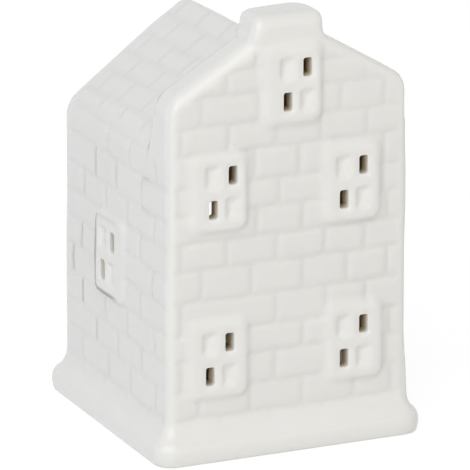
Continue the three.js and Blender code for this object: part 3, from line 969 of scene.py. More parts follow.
@dataclass(frozen=True)
class Window:
    """A raised block on a wall with four panes, of which two are pierced.

    Attributes:
        across, height: Middle of the panes, to the right and up.
        shift: How far the panes lie right of the block's middle.
        pane_half: Half of a pane's width and height.
        hollow_growth: How far a closed pane's hollow is wider than the pane.
        hollow_stretch: How much further the hollow reaches to the left.
        lean: How much the block sinks into the wall towards one upper corner.
        lean_way: 1 where that is the upper left corner, -1 for the upper right one.
    """

    side: Side
    across: float
    height: float
    shift: float
    width: float = 18.0
    tall: float = 24.5
    relief: float = 1.5
    corner_radius: float = 3.4
    soft_edge: float = 2.4
    pane_half: Pair = (1.42, 2.9)
    pane_corner_radius: float = 0.7
    spacing: Pair = (6.5, 10.3)
    rim_radius: float = 0.35
    hollow_growth: float = 1.05
    hollow_ease: float = 2.9
    hollow_depth: float = 1.15
    hollow_stretch: float = 0.8
    hollow_top_tilt: float = 0.3
    hollow_left_tilt: float = 0.6
    pane_dish: float = 0.3
    dish_reach: float = 1.6
    # Darkness of the painted shade under the block's left and lower edges.
    rear_shade: float = 0.0
    shade_inset: float = 1.1
    shade_half_width: float = 1.15
    shade_end: Ramp = Ramp(0.4, -0.3)
    shade_top: Ramp = Ramp(13.2, -4.0)
    lean: float = 1.0
    lean_way: float = 1.0
    lean_up: float = 0.8
    lean_share: float = 0.5

    def pane_middles(self, pierced: bool) -> list[Pair]:
        """Middles of the pierced panes, or of the hollow ones, along and up the wall.

        Args:
            pierced: Which two of the panes.

        Returns:
            Places along and up the wall.
        """
        right, up = self.spacing[0] / 2.0, self.spacing[1] / 2.0
        way = 1.0 if pierced else -1.0
        return [
            (self.across + way * right, self.height + up),
            (self.across - way * right, self.height - up),
        ]

    def block_distance(self, across: Array, up: Array) -> Array:
        """Distance to the block's outline in the plane of the wall.

        Args:
            across, up: Places along and up the wall.

        Returns:
            Distances, negative inside.
        """
        return rectangle_distance(
            across - self.across + self.shift,
            up - self.height,
            self.width / 2.0,
            self.tall / 2.0,
            self.corner_radius,
        )

    def pane_distance(self, across: Array, up: Array, middle: Pair, stretch: float = 0.0) -> Array:
        """Distance to the outline of the pane with the given middle, stretched to the left.

        Args:
            across, up: Places along and up the wall.
            middle: Middle of the pane.
            stretch: How far it reaches further left.

        Returns:
            Distances, negative inside.
        """
        return rectangle_distance(
            across - middle[0] + stretch / 2.0,
            up - middle[1],
            self.pane_half[0] + stretch / 2.0,
            self.pane_half[1],
            self.pane_corner_radius,
        )

    def hollow(self, across: Array, up: Array, middle: Pair) -> Array:
        """Depth of a closed pane's hollow below the dish: an eased step, tilted two ways.

        Args:
            across, up: Places along and up the wall.
            middle: Middle of the pane.

        Returns:
            Depths.
        """
        gap = self.pane_distance(across, up, middle, self.hollow_stretch)
        sunk = smooth_step((self.hollow_growth - gap) / self.hollow_ease)
        right = across - middle[0] + self.hollow_stretch / 2.0
        half_width = self.pane_half[0] + self.hollow_stretch / 2.0 + self.hollow_growth
        to_right = np.clip(right / half_width, -1.0, 1.0)
        to_top = np.clip((up - middle[1]) / self.pane_half[1], -1.0, 1.0)
        tilt = 1.0 + self.hollow_top_tilt * to_top - self.hollow_left_tilt * to_right
        return (self.hollow_depth - self.pane_dish) * sunk * tilt

    def raised(self, across: Array, up: Array) -> tuple[Array, Array]:
        """Height of the block, and how much of each place it covers.

        The block rises by an eased step, lower and softer towards the corner that it leans to.
        Round each pane the face dips by an eased dish, and the closed panes have a hollow.

        Args:
            across: Places along the wall.
            up: Places above the floor.

        Returns:
            Height over the wall, and the cover from 0 to 1.
        """
        outline = self.block_distance(across, up)
        left_share = (self.across - self.shift - across) / self.width
        top_share = (up - self.height) / self.tall
        sunk_side = 0.5 + self.lean_way * left_share + self.lean_up * top_share
        sunk_side = np.clip(sunk_side, 0.0, 1.0) * self.lean
        cover = smooth_step(0.5 - outline / (self.soft_edge * (1.0 + sunk_side)))
        height = self.relief * (1.0 - self.lean_share * sunk_side)
        for pierced in (True, False):
            for middle in self.pane_middles(pierced):
                gap = self.pane_distance(across, up, middle)
                height -= self.pane_dish * (1.0 - smooth_step(gap / self.dish_reach))
                if not pierced:
                    height -= self.hollow(across, up, middle)
        return height, cover

    def shaded_edge(self, across: Array, up: Array) -> Array:
        """Darkness of the painted shade in the narrow gap under the block's left and lower edges.

        Args:
            across, up: Places along and up the wall.

        Returns:
            Darkness from 0 to 1.
        """
        outline = self.block_distance(across, up)
        line = 1.0 - smooth_step(np.abs(outline + self.shade_inset) / self.shade_half_width)
        to_left = self.shade_end.at((across - self.across + self.shift) / self.width)
        return self.rear_shade * line * to_left * self.shade_top.at(up - self.height)


WINDOWS = (
    Window(Side.FRONT, 2.85, 116.0, 1.6, width=19.2, tall=24.4),
    Window(Side.FRONT, -21.85, 84.8, 1.3, width=18.6),
    Window(Side.FRONT, 21.75, 82.9, 0.5, width=18.6),
    Window(Side.FRONT, -22.95, 31.9, 0.5, width=19.6),
    Window(Side.FRONT, 22.0, 31.9, -0.2, width=18.8),
    Window(
        Side.LEFT, -4.1, 54.1, -1.2, width=21.0, tall=26.6, soft_edge=1.6, rear_shade=1.0,
        pane_half=(1.65, 3.1), lean_way=-1.0,
    ),
    Window(Side.RIGHT, 2.4, 54.3, 0.4, lean=0.3),
    Window(
        Side.REAR, -6.1, 57.7, 0.4, pane_half=(1.6, 3.7), pane_corner_radius=0.5, lean=0.3,
    ),
)


@dataclass
class HouseSurface:
    """Everything that shapes the house's surface on top of its plain form.

    Attributes:
        brick: Usual length of a brick on the faces that the photograph doesn't show.
        brick_tone: Share of the joints' darker tone, partly painted shade, that the bricks get.
        facing: Where a wall's relief begins by how squarely the surface faces the wall's way.
        course_top: Where the bricks end below a slope or an eave.
        gable_fade: Share of their relief that the front's upper bricks lack.
        left_draw: How far the left wall's upper part stands back.
        gable_foot_line: Depth of the gable foot's painted shade line, in front of the middle.
        edge_turn: Where the gable back edge's painted shade begins, in radians of its round.
    """

    form: HouseForm
    windows: tuple[Window, ...]
    brick: float = 17.2
    brick_tone: float = 0.3
    facing: Ramp = Ramp(0.55, 0.36)
    roof_facing: Ramp = Ramp(0.5, 0.24)
    roof_front: Ramp = Ramp(1.0, 2.0)
    roof_rear: Ramp = Ramp(2.5, 1.5)
    roof_side: Ramp = Ramp(0.0, 0.8)
    skirt: Ramp = Ramp(9.0, 5.5)
    corner: Ramp = Ramp(1.2, 3.4)
    course_top: Ramp = Ramp(2.4, 1.8)
    highest_brick: float = 129.5
    side_top: float = 96.5
    gable_fade: float = 0.22
    gable_fade_rise: Ramp = Ramp(90.0, 20.0)
    left_draw: float = 0.6
    left_draw_rise: Ramp = Ramp(45.0, 35.0)
    right_swell: float = 0.9
    right_swell_rise: Ramp = Ramp(7.0, 6.0)
    right_swell_fall: Ramp = Ramp(34.0, -19.0)
    right_rise: float = 0.25
    right_rise_start: Ramp = Ramp(60.0, 14.0)
    right_rise_end: Ramp = Ramp(2.0, 12.0)
    eave_draw: float = 0.5
    eave_draw_rise: Ramp = Ramp(99.0, 4.0)
    gable_edge_shade: float = 0.34
    edge_turn: Ramp = Ramp(0.15, 0.25)
    edge_turn_end: Ramp = Ramp(0.85, -0.25)
    edge_depth: Ramp = Ramp(2.6, -1.2)
    edge_back: Ramp = Ramp(0.0, 1.0)
    edge_clear: Ramp = Ramp(1.0, 2.0)
    gable_foot_shade: float = 0.5
    gable_foot_line: float = 22.9
    foot_line_width: Ramp = Ramp(0.9, -0.9)
    foot_line_low: Ramp = Ramp(95.5, 1.5)
    foot_line_high: Ramp = Ramp(102.5, -1.5)

    def __post_init__(self) -> None:
        """Lays the brickwork of each face."""
        half_depth = self.form.half_depth
        right_bond = running_bond(SIDE_BEDS, half_depth, self.brick, seed=3)
        rear_bond = running_bond(FRONT_BEDS, self.form.half_width, self.brick, seed=5)
        roof_bond = running_bond(ROOF_BEDS, half_depth, self.brick, seed=8)
        left = {"bed_depth": 0.42, "head_depth": 0.6, "joint_half_width": 1.5}
        roof = {"bed_depth": 0.3, "head_depth": 0.45, "joint_half_width": 1.6, "pillow_share": 0.2}
        self.walls = {
            Side.FRONT: Brickwork(FRONT_BEDS, FRONT_HEADS, bed_depth=0.5, head_depth=0.48),
            Side.LEFT: Brickwork(SIDE_BEDS, LEFT_HEADS, shaded_joints=LEFT_SHADED_JOINTS, **left),
            Side.RIGHT: Brickwork(SIDE_BEDS, right_bond),
            Side.REAR: Brickwork(FRONT_BEDS, rear_bond),
        }
        self.roofs = {
            Side.LEFT: Brickwork(ROOF_BEDS, LEFT_ROOF_HEADS, **roof),
            Side.RIGHT: Brickwork(ROOF_BEDS, roof_bond, **roof),
        }

    def below_top(self, side: Side, points: Array) -> Array:
        """How far points of a wall lie below the slope, eave or chimney that ends its bricks.

        Args:
            side: The wall.
            points: Points on it.

        Returns:
            Distances.
        """
        far = 50.0
        up = points[:, 2]
        if side is Side.FRONT:
            steep = np.hypot(1.0, self.form.gable_slope)
            below = (self.form.gable_height(points[:, 0]) - up) / steep
            return np.minimum(below, self.highest_brick - up)
        if side is Side.REAR:
            return -self.form.roof_distance(*points.T)
        return np.where(points[:, 1] < self.form.gable_foot - 1.0, self.side_top - up, far)

    def wall_relief(self, side: Side, points: Array) -> tuple[Array, Array, Array]:
        """Height over a wall: brickwork that fades out at its edges, slow warps, and windows.

        Args:
            side: The wall.
            points: Points on the plain form.

        Returns:
            Heights, how deep in a joint each point is, and how dark its painted shade is.
        """
        across = points @ side.right_way
        up = points[:, 2]
        height, groove, painted_shade = self.walls[side].relief(across, up)
        on_end = side in (Side.FRONT, Side.REAR)
        half = self.form.half_width if on_end else self.form.half_depth
        below = self.below_top(side, points)
        within = self.corner.at(half - np.abs(across))
        bricks = self.course_top.at(below) * self.skirt.at(up) * within
        if side is Side.FRONT:
            bricks = bricks * (1.0 - self.gable_fade * self.gable_fade_rise.at(up))
        height = height * bricks
        groove = (self.brick_tone + (1.0 - self.brick_tone) * groove) * bricks
        if side is Side.LEFT:
            height = height - self.left_draw * self.left_draw_rise.at(up)
        elif side is Side.RIGHT:
            low = self.right_swell_rise.at(up) * self.right_swell_fall.at(up)
            high = self.right_rise_start.at(up) * self.right_rise_end.at(below)
            height = height + self.right_swell * low + self.right_rise * high
            height = height - self.eave_draw * self.eave_draw_rise.at(up)
        painted_shade = painted_shade * bricks
        for window in self.windows:
            if window.side is not side:
                continue
            raised, cover = window.raised(across, up)
            height = blended(height, raised, cover)
            groove = groove * (1.0 - cover)
            painted_shade = painted_shade * (1.0 - cover)
            # Painted shade under the window block's left and lower edges.
            if window.rear_shade:
                painted_shade = np.maximum(painted_shade, window.shaded_edge(across, up))
        return height, groove, painted_shade

    def relief(self, points: Array, normals: Array) -> tuple[Array, Array, Array]:
        """Height over the plain form at points of any face.

        Each face's relief counts by how squarely the surface faces its way, so that it fades
        round the edges of the house.

        Args:
            points: Points on the plain form.
            normals: Unit outward directions at the points.

        Returns:
            Heights, how deep in a joint each point is, and how dark its painted shade is.
        """
        total = np.zeros((3, len(points)))
        for side in Side:
            share = self.facing.at(normals @ side.outward_way)
            near = share > 0.0
            total[:, near] += np.stack(self.wall_relief(side, points[near])) * share[near]
        on_roof = self.roof_facing.at(normals[:, 2])
        on_roof = on_roof * self.roof_front.at(points[:, 1] - self.form.gable_foot)
        on_roof = on_roof * self.roof_rear.at(self.form.half_depth - points[:, 1])
        for side, bricks in self.roofs.items():
            out = points[:, 0] * side.outward_way[0]
            share = on_roof * self.roof_side.at(out)
            total += np.stack(bricks.relief(points @ side.right_way, out)) * share
        return total[0], total[1], np.maximum(total[2], self.edge_shade(points, normals))

    def edge_shade(self, points: Array, normals: Array) -> Array:
        """Darkness of painted shade along the gable's upper back edge and at its left foot.

        The first follows how far, in radians, the round there has turned from the gable's slope
        to its back.

        Args:
            points, normals: Points and their outward directions.

        Returns:
            Darkness from 0 to 1.
        """
        form = self.form
        x, y, z = points.T
        # Painted shade along the gable's back edge, by how far its round has turned.
        turned = np.arctan2(normals[:, 1], np.maximum(normals[:, 2], 0.0))
        on_edge = self.edge_turn.at(turned) * self.edge_turn_end.at(turned)
        on_edge = on_edge * self.edge_depth.at(form.gable_height(x) - z)
        on_edge = on_edge * self.edge_back.at(form.gable_foot - y)
        on_edge = on_edge * self.edge_clear.at(np.abs(x) - form.chimney_half_width)
        # Painted shade at the gable's foot on the left wall.
        at_foot = self.foot_line_width.at(np.abs(y + self.gable_foot_line))
        at_foot = at_foot * (normals[:, 0] < -0.5)
        at_foot = at_foot * self.foot_line_low.at(z) * self.foot_line_high.at(z)
        return np.maximum(self.gable_edge_shade * on_edge, self.gable_foot_shade * at_foot)


@dataclass
class PorcelainHouse:
    """The porcelain house as one closed mesh.

    The outer skin and the hollow each have so many cells across, deep and up. The foot levels
    are the heights of the outer rings that round the foot.
    """

    form: HouseForm = HouseForm()
    wall: float = 4.2
    windows: tuple[Window, ...] = WINDOWS
    cells: tuple[int, int, int] = (100, 104, 144)
    hollow_cells: tuple[int, int, int] = (38, 40, 56)
    foot_levels: tuple[float, ...] = (0.0, 0.15, 0.45, 0.95)

    def build(self) -> Piece:
        """Makes and glazes the house.

        Returns:
            The porcelain house.
        """
        surface = HouseSurface(self.form, self.windows)
        outer = HouseSkin(self.form, *self.cells, self.foot_levels)
        inner = HouseSkin(HouseForm(inset=self.wall, has_chimney=False), *self.hollow_cells)
        mesh = HouseMesh(outer, inner, surface)
        for window in self.windows:
            mesh.open_window(window)
        house = Piece(mesh.finish(), "house", "porcelain_house", Slot.PORCELAIN)
        return house.coated(GlazedPorcelain())


class HouseMesh:
    """Collects the vertices and faces of the house while its windows are opened.

    The margins say how far past a window's panes its finer cells reach, and how far past a pane
    the hollow's cells are taken out. The inner rim rounds a reveal where it meets the hollow, and
    its turn is the share of it on the way round. Halfway the reveal is wider by the draft.
    """

    fine_margin = 2.0
    hollow_margin = 0.25
    inner_rim = 0.35
    inner_rim_turn = 0.3
    reveal_draft = 0.04
    rim_steps = 4

    def __init__(self, outer: HouseSkin, inner: HouseSkin, surface: HouseSurface) -> None:
        """Starts from the outer skin, the skin of the hollow and the relief of the outside.

        Args:
            outer, inner: Skins of the outside and of the hollow.
            surface: Relief of the outside.
        """
        self.outer = outer
        self.inner = inner
        self.surface = surface
        self.plain = [outer.points]
        self.count = len(outer.points)
        self.walls, self.top = outer.quads()
        self.kept = np.ones(self.walls.shape[:2], dtype=bool)
        self.inner_walls, self.inner_top = inner.quads()
        self.inner_kept = np.ones(self.inner_walls.shape[:2], dtype=bool)
        self.faces: list[Array] = []
        self.tunnels: list[dict] = []
        self.within: list[Array] = []

    def add_plain(self, points: Array) -> Array:
        """Adds points on the plain form.

        Args:
            points: Points, one row each.

        Returns:
            Their numbers.
        """
        numbers = np.arange(len(points)) + self.count
        self.plain.append(points)
        self.count += len(points)
        return numbers

    def open_window(self, window: Window) -> None:
        """Gives a window finer cells and pierces two of its panes.

        Args:
            window: The window.
        """
        grid = self.outer.points[self.outer.wall_columns(window.side)]
        from_middle = np.abs(window.side.flat(grid) - (window.across, window.height))
        reach = np.array(window.spacing) / 2.0 + window.pane_half + self.fine_margin
        covered = (from_middle < reach).all(axis=2)
        rows = np.flatnonzero(covered.any(axis=1))
        columns = np.flatnonzero(covered.any(axis=0))
        fine, points = self.refine(window.side, rows[0], rows[-1], columns[0], columns[-1])
        places = window.side.flat(points)
        open_cells = np.ones((fine.shape[0] - 1, fine.shape[1] - 1), dtype=bool)
        for middle in window.pane_middles(pierced=True):
            self.pierce(window, np.array(middle), fine, places, open_cells)
        self.faces.append(grid_quads(fine)[open_cells.ravel()])

    def refine(
        self, side: Side, low: int, high: int, left: int, right: int
    ) -> tuple[Array, Array]:
        """Halves the cells of a block of a wall, and lets the cells round it share its edge.

        Args:
            side: The wall.
            low: Lowest row of the block.
            high: Highest row of the block.
            left: First column of the block, counted on the wall.
            right: Last column of the block.

        Returns:
            Numbers of the fine grid's vertices, and their points, by row and column.
        """
        outer = self.outer
        coarse = outer.wall_columns(side)[low : high + 1, left : right + 1]
        points = outer.points[coarse]
        rows = 2 * (high - low) + 1
        columns = 2 * (right - left) + 1
        fine_points = np.zeros((rows, columns, 3))
        fine_points[::2, ::2] = points
        fine_points[::2, 1::2] = (points[:, :-1] + points[:, 1:]) / 2.0
        fine_points[1::2] = (fine_points[:-1:2] + fine_points[2::2]) / 2.0
        free = np.ones((rows, columns), dtype=bool)
        free[::2, ::2] = False
        held = np.zeros(int(free.sum()), dtype=bool)
        fine_points[free] = outer.form.drawn_on(fine_points[free], 2, held)
        fine = np.zeros((rows, columns), dtype=int)
        fine[::2, ::2] = coarse
        fine[free] = self.add_plain(fine_points[free])
        start = outer.wall_start(side)
        place = (start + np.arange(left, right)) % outer.around
        before = (start + left - 1) % outer.around
        after = (start + right) % outer.around
        self.kept[low - 1 : high + 1, place] = False
        self.kept[low:high, [before, after]] = False
        self.faces += [
            np.insert(self.walls[low - 1, place], 3, fine[0, 1::2], axis=1),
            np.insert(self.walls[high, place], 1, fine[-1, 1::2], axis=1),
            np.insert(self.walls[low:high, before], 2, fine[1::2, 0], axis=1),
            np.insert(self.walls[low:high, after], 4, fine[1::2, -1], axis=1),
        ]
        return fine, fine_points

    def pierce(
        self, window: Window, middle: Array, fine: Array, places: Array, open_cells: Array
    ) -> None:
        """Cuts one pane out of the fine grid and runs its reveal through the wall.

        The cut's edge moves onto the pane's outline. Its rings follow outlines of the same
        centres and lesser radius: a quarter round at the face, then straight to the hollow.

        Args:
            window: The window.
            middle: Middle of the pane.
            fine: Vertex numbers of the fine grid.
            places: Places of the fine grid along and up the wall.
            open_cells: Which fine cells are still there, changed in place.
        """
        half = np.array(window.pane_half) + window.rim_radius
        row = nearest(places[:, fine.shape[1] // 2, 1], middle[1])
        column = nearest(places[row, :, 0], middle[0])
        left, low = middle - half
        right, high = middle + half
        left, right = nearest(places[row, :, 0], left), nearest(places[row, :, 0], right)
        low, high = nearest(places[:, column, 1], low), nearest(places[:, column, 1], high)
        open_cells[low:high, left:right] = False
        place = self.loop(places, low, high, left, right) - middle
        core_limit = np.array(window.pane_half) - window.pane_corner_radius
        core = np.clip(place, -core_limit, core_limit)
        way = place - core
        way /= np.linalg.norm(way, axis=1)[:, None]
        edge = core + way * (window.pane_corner_radius + window.rim_radius)
        self.tunnels.append({
            "window": window,
            "middle": middle,
            "loop": self.loop(fine, low, high, left, right),
            "core": core,
            "way": way,
            "edge": edge + middle,
        })

    @staticmethod
    def loop(grid: Array, low: int, high: int, left: int, right: int) -> Array:
        """Values of a grid once round a block of its cells, from its lower left corner.

        Args:
            grid: Values by row and column.
            low, high: Lowest and highest row.
            left, right: First and last column.

        Returns:
            The values in turn.
        """
        return np.concatenate([
            grid[low, left:right],
            grid[low:high, right],
            grid[high, right:left:-1],
            grid[high:low:-1, left],
        ])

    def inner_loop(self, window: Window, middle: Array) -> Array:
        """Removes the hollow's cells behind a pane and returns the loop round them.

        Args:
            window: The window.
            middle: Middle of the pane.

        Returns:
            Vertex numbers of the loop.
        """
        numbers = self.inner.wall_columns(window.side)
        places = window.side.flat(self.inner.points[numbers])
        half = np.array(window.pane_half) + window.rim_radius + self.hollow_margin
        row = places[nearest(places[:, places.shape[1] // 2, 1], middle[1]), :, 0]
        left = np.flatnonzero(row < middle[0] - half[0])[-1]
        right = np.flatnonzero(row > middle[0] + half[0])[0]
        column = places[:, (left + right) // 2, 1]
        low = np.flatnonzero(column < middle[1] - half[1])[-1]
        high = np.flatnonzero(column > middle[1] + half[1])[0]
        start = self.inner.wall_start(window.side)
        place = (start + np.arange(left, right)) % self.inner.around
        self.inner_kept[low:high, place] = False
        return self.loop(numbers, low, high, left, right)

    def tunnel(self, cut: dict, points: list[Array], offset: int) -> None:
        """Runs one pane's reveal from its rim to the hollow.

        Args:
            cut: What pierce noted about the pane.
            points: Finished points, the last being added to.
            offset: Number of the first vertex of the hollow.
        """
        window = cut["window"]
        side = window.side
        level = (points[0][cut["loop"]] @ side.outward_way).mean()
        hollow_loop = self.inner_loop(window, cut["middle"])
        hollow_points = self.inner.points[hollow_loop]
        hollow_level = (hollow_points @ side.outward_way).mean()
        rim = window.rim_radius
        inner_rim = self.inner_rim
        turned = self.inner_rim_turn * inner_rim
        angles = np.linspace(0.0, np.pi / 2.0, self.rim_steps + 1)[1:]
        steps = [(rim * (1 - np.sin(a)), level - rim * (1 - np.cos(a))) for a in angles]
        steps += [
            (self.reveal_draft, (level - rim + hollow_level + inner_rim) / 2.0),
            (0.0, hollow_level + inner_rim),
            (turned, hollow_level + turned),
            (inner_rim, hollow_level),
        ]
        previous = cut["loop"]
        for growth, depth in steps:
            flat = cut["core"] + cut["way"] * (window.pane_corner_radius + growth)
            flat = flat + cut["middle"]
            ahead = np.roll(previous, -1)
            numbers = np.arange(len(flat)) + sum(len(part) for part in points)
            points.append(side.placed(flat, depth))
            share = (level - depth) / (level - hollow_level)
            self.within.append(np.full(len(flat), share))
            self.faces.append(np.column_stack([previous, ahead, np.roll(numbers, -1), numbers]))
            previous = numbers
        self.faces.append(zip_loops(
            previous,
            loop_turns(flat, cut["middle"]),
            hollow_loop + offset,
            loop_turns(side.flat(hollow_points), cut["middle"]),
        ))

    def finish(self) -> bpy.types.Object:
        """Adds the relief, joins the skins through the panes and the foot, and makes the mesh.

        Returns:
            The house.
        """
        plain = np.concatenate(self.plain)
        for cut in self.tunnels:
            side = cut["window"].side
            depth = plain[cut["loop"]] @ side.outward_way
            plain[cut["loop"]] = side.placed(cut["edge"], depth[:, None])
        slope = self.outer.form.outward(plain)
        normals = slope / np.linalg.norm(slope, axis=1)[:, None]
        height, groove, painted_shade = self.surface.relief(plain, normals)
        height[self.outer.wall_numbers[0]] = 0.0
        raised = plain + normals * height[:, None]
        points = [raised, self.inner.points]
        self.within = [np.zeros(len(raised)), np.ones(len(self.inner.points))]
        offset = len(raised)
        for cut in self.tunnels:
            self.tunnel(cut, points, offset)
        inner_foot = self.inner.wall_numbers[0]
        outer_foot = self.outer.wall_numbers[0]
        foot = zip_loops(
            inner_foot + offset,
            loop_turns(self.inner.points[inner_foot, :2], np.zeros(2)),
            outer_foot,
            loop_turns(raised[outer_foot, :2], np.zeros(2)),
        )
        self.faces += [
            self.walls[self.kept],
            self.top,
            self.inner_walls[self.inner_kept][:, ::-1] + offset,
            self.inner_top[:, ::-1] + offset,
            foot,
        ]
        every = np.concatenate(points)
        used = np.unique(np.concatenate([part.ravel() for part in self.faces]))
        renumber = np.zeros(len(every), dtype=int)
        renumber[used] = np.arange(len(used))
        faces = [face for part in self.faces for face in renumber[part].tolist()]
        marks = np.zeros((3, len(every)))
        marks[:2, : len(groove)] = groove, painted_shade
        # How deep in a reveal each point lies, which the glaze turns into painted shade.
        marks[2] = np.concatenate(self.within)
        attributes = dict(zip(("groove", "painted_shade", "inside"), marks[:, used]))
        return add_mesh("porcelain_house_glazed", every[used], faces, attributes)


# Tea light

def arc(centre: Pair, radius: float, start: float, end: float, count: int) -> Array:
    """Points on part of a circle in the plane of a profile, between two angles in degrees."""
    angles = np.radians(np.linspace(start, end, count))
    return np.array(centre) + radius * np.stack([np.cos(angles), np.sin(angles)], axis=1)


def straight(first: Pair, last: Pair, count: int) -> Array:
    """Points between two places, both left out."""
    shares = np.linspace(0.0, 1.0, count + 2)[1:-1, None]
    return np.array(first) * (1.0 - shares) + np.array(last) * shares


def eased_corners(corners: list[Pair], reaches: list[float]) -> Array:
    """Chain of straight lines whose inner corners are eased.

    Each corner becomes a parabola that starts and ends at the corner's reach from it.

    Args:
        corners: Ends and corners of the chain.
        reaches: Reach of each inner corner.

    Returns:
        Points of the eased chain, one row each.
    """
    chain = np.array(corners, dtype=float)
    middle = chain[1:-1]
    back = chain[:-2] - middle
    ahead = chain[2:] - middle
    reach = np.array(reaches)[:, None]
    start = middle + reach * back / np.linalg.norm(back, axis=1)[:, None]
    end = middle + reach * ahead / np.linalg.norm(ahead, axis=1)[:, None]
    share = np.linspace(0.0, 1.0, 6)[None, :, None]
    curve = (
        (1.0 - share) ** 2 * start[:, None]
        + 2.0 * share * (1.0 - share) * middle[:, None]
        + share**2 * end[:, None]
    )
    return np.concatenate([chain[:1], curve.reshape(-1, 2), chain[-1:]])


def wrapped_faces(rows: int, columns: int, closed: bool) -> list[list[int]]:
    """Faces of a grid that runs round an axis.

    A closed grid's last row joins its first. An open one ends in two poles, numbered after the
    grid's own points.

    Args:
        rows: Rows of the grid.
        columns: Points in each row.
        closed: Whether the last row joins the first.

    Returns:
        Vertex numbers of each face.
    """
    numbers = np.arange(rows * columns).reshape(rows, columns)
    numbers = np.concatenate([numbers, numbers[:, :1]], axis=1)
    if closed:
        return grid_quads(np.concatenate([numbers, numbers[:1]])).tolist()
    first, last = rows * columns, rows * columns + 1
    start = np.stack([np.full(columns, first), numbers[0, 1:], numbers[0, :-1]], axis=1)
    end = np.stack([numbers[-1, :-1], numbers[-1, 1:], np.full(columns, last)], axis=1)
    return grid_quads(numbers).tolist() + start.tolist() + end.tolist()


def full_turn(columns: int) -> Array:
    """Directions at equal steps once round, in radians."""
    return np.linspace(0.0, 2.0 * np.pi, columns, endpoint=False)


def raised_cosine(turn: Array, count: int) -> Array:
    """Waves from 0 to 1, so many to a turn."""
    return 0.5 + 0.5 * np.cos(count * turn)


def bell(value: Array, middle: float, width: float) -> Array:
    """Bell curve of the distance from a middle, 1 there."""
    return np.exp(-(((value - middle) / width) ** 2))


def turned_points(radius: Array, height: Array) -> Array:
    """Points at the radius times the cosine and sine of their direction, and at the height.

    Args:
        radius: Radius of each point, by row and direction.
        height: Height of each point.

    Returns:
        One row for each point.
    """
    turn = full_turn(radius.shape[1])
    height = np.broadcast_to(height, radius.shape)
    return np.stack([radius * np.cos(turn), radius * np.sin(turn), height], axis=2).reshape(-1, 3)


@dataclass(frozen=True)
class TeaLightCup:
    """Thin pressed cup with flutes in its wall, a ring in its floor and a rolled rim."""

    radius: float = 18.7
    height: float = 15.5
    wall: float = 0.3
    rim_radius: float = 0.5
    foot_radius: float = 1.2
    flutes: int = 45
    flute_depth: float = 0.15
    fluted: Ramp = Ramp(1.5, 1.2)
    flutes_end: Ramp = Ramp(1.6, 1.0)
    ring: float = 11.0
    ring_height: float = 0.12
    ring_width: float = 0.7
    middle: float = 0.4
    steps: int = 18
    foot_steps: int = 7
    rim_steps: int = 14
    columns: int = 360

    def profile(self) -> Array:
        """Radius and height from under the floor, up the wall, over the rim and back inside.

        Returns:
            One row for each point.
        """
        foot = (self.radius - self.foot_radius, self.foot_radius)
        rim_height = self.height - self.rim_radius
        inside = self.radius - self.wall
        meeting = 180.0 - np.degrees(np.arccos(self.wall / self.rim_radius))
        inside_top = rim_height + self.rim_radius * np.sin(np.radians(meeting))
        rim = (self.radius, rim_height)
        under_rim = (self.radius, rim_height - self.rim_radius)
        return np.concatenate([
            straight((self.middle, 0.0), (foot[0], 0.0), self.steps),
            arc(foot, self.foot_radius, -90.0, 0.0, self.foot_steps),
            straight((self.radius, self.foot_radius), under_rim, self.steps),
            arc(rim, self.rim_radius, -90.0, meeting, self.rim_steps),
            straight((inside, inside_top), (inside, self.foot_radius), self.steps),
            arc(foot, self.foot_radius - self.wall, 0.0, -90.0, self.foot_steps - 1),
            straight((foot[0], self.wall), (self.middle, self.wall), self.steps),
        ])

    def build(self) -> Piece:
        """Makes the cup.

        The flutes take away from the radius the cube of a raised cosine of the direction, eased
        out near foot and rim. The ring adds a bell curve of the radius to the floor's height.

        Returns:
            The cup.
        """
        profile = self.profile()
        radius, height = profile[:, :1], profile[:, 1:]
        on_wall = Ramp(-2.0 * self.wall, 0.2).at(radius - self.radius)
        upright = self.fluted.at(height) * self.flutes_end.at(self.height - height)
        flute = raised_cosine(full_turn(self.columns), self.flutes) ** 3
        radii = radius - self.flute_depth * on_wall * upright * flute
        heights = height + self.ring_height * bell(radius, self.ring, self.ring_width)
        poles = np.array([[0.0, 0.0, 0.0], [0.0, 0.0, self.wall]])
        points = np.concatenate([turned_points(radii, heights), poles])
        faces = wrapped_faces(len(profile), self.columns, closed=False)
        made = add_mesh("tea_light_cup_fluted", points, faces)
        return Piece(made, "tea_light", "tea_light_cup", Slot.CUP_METAL).coated(PressedAluminium())


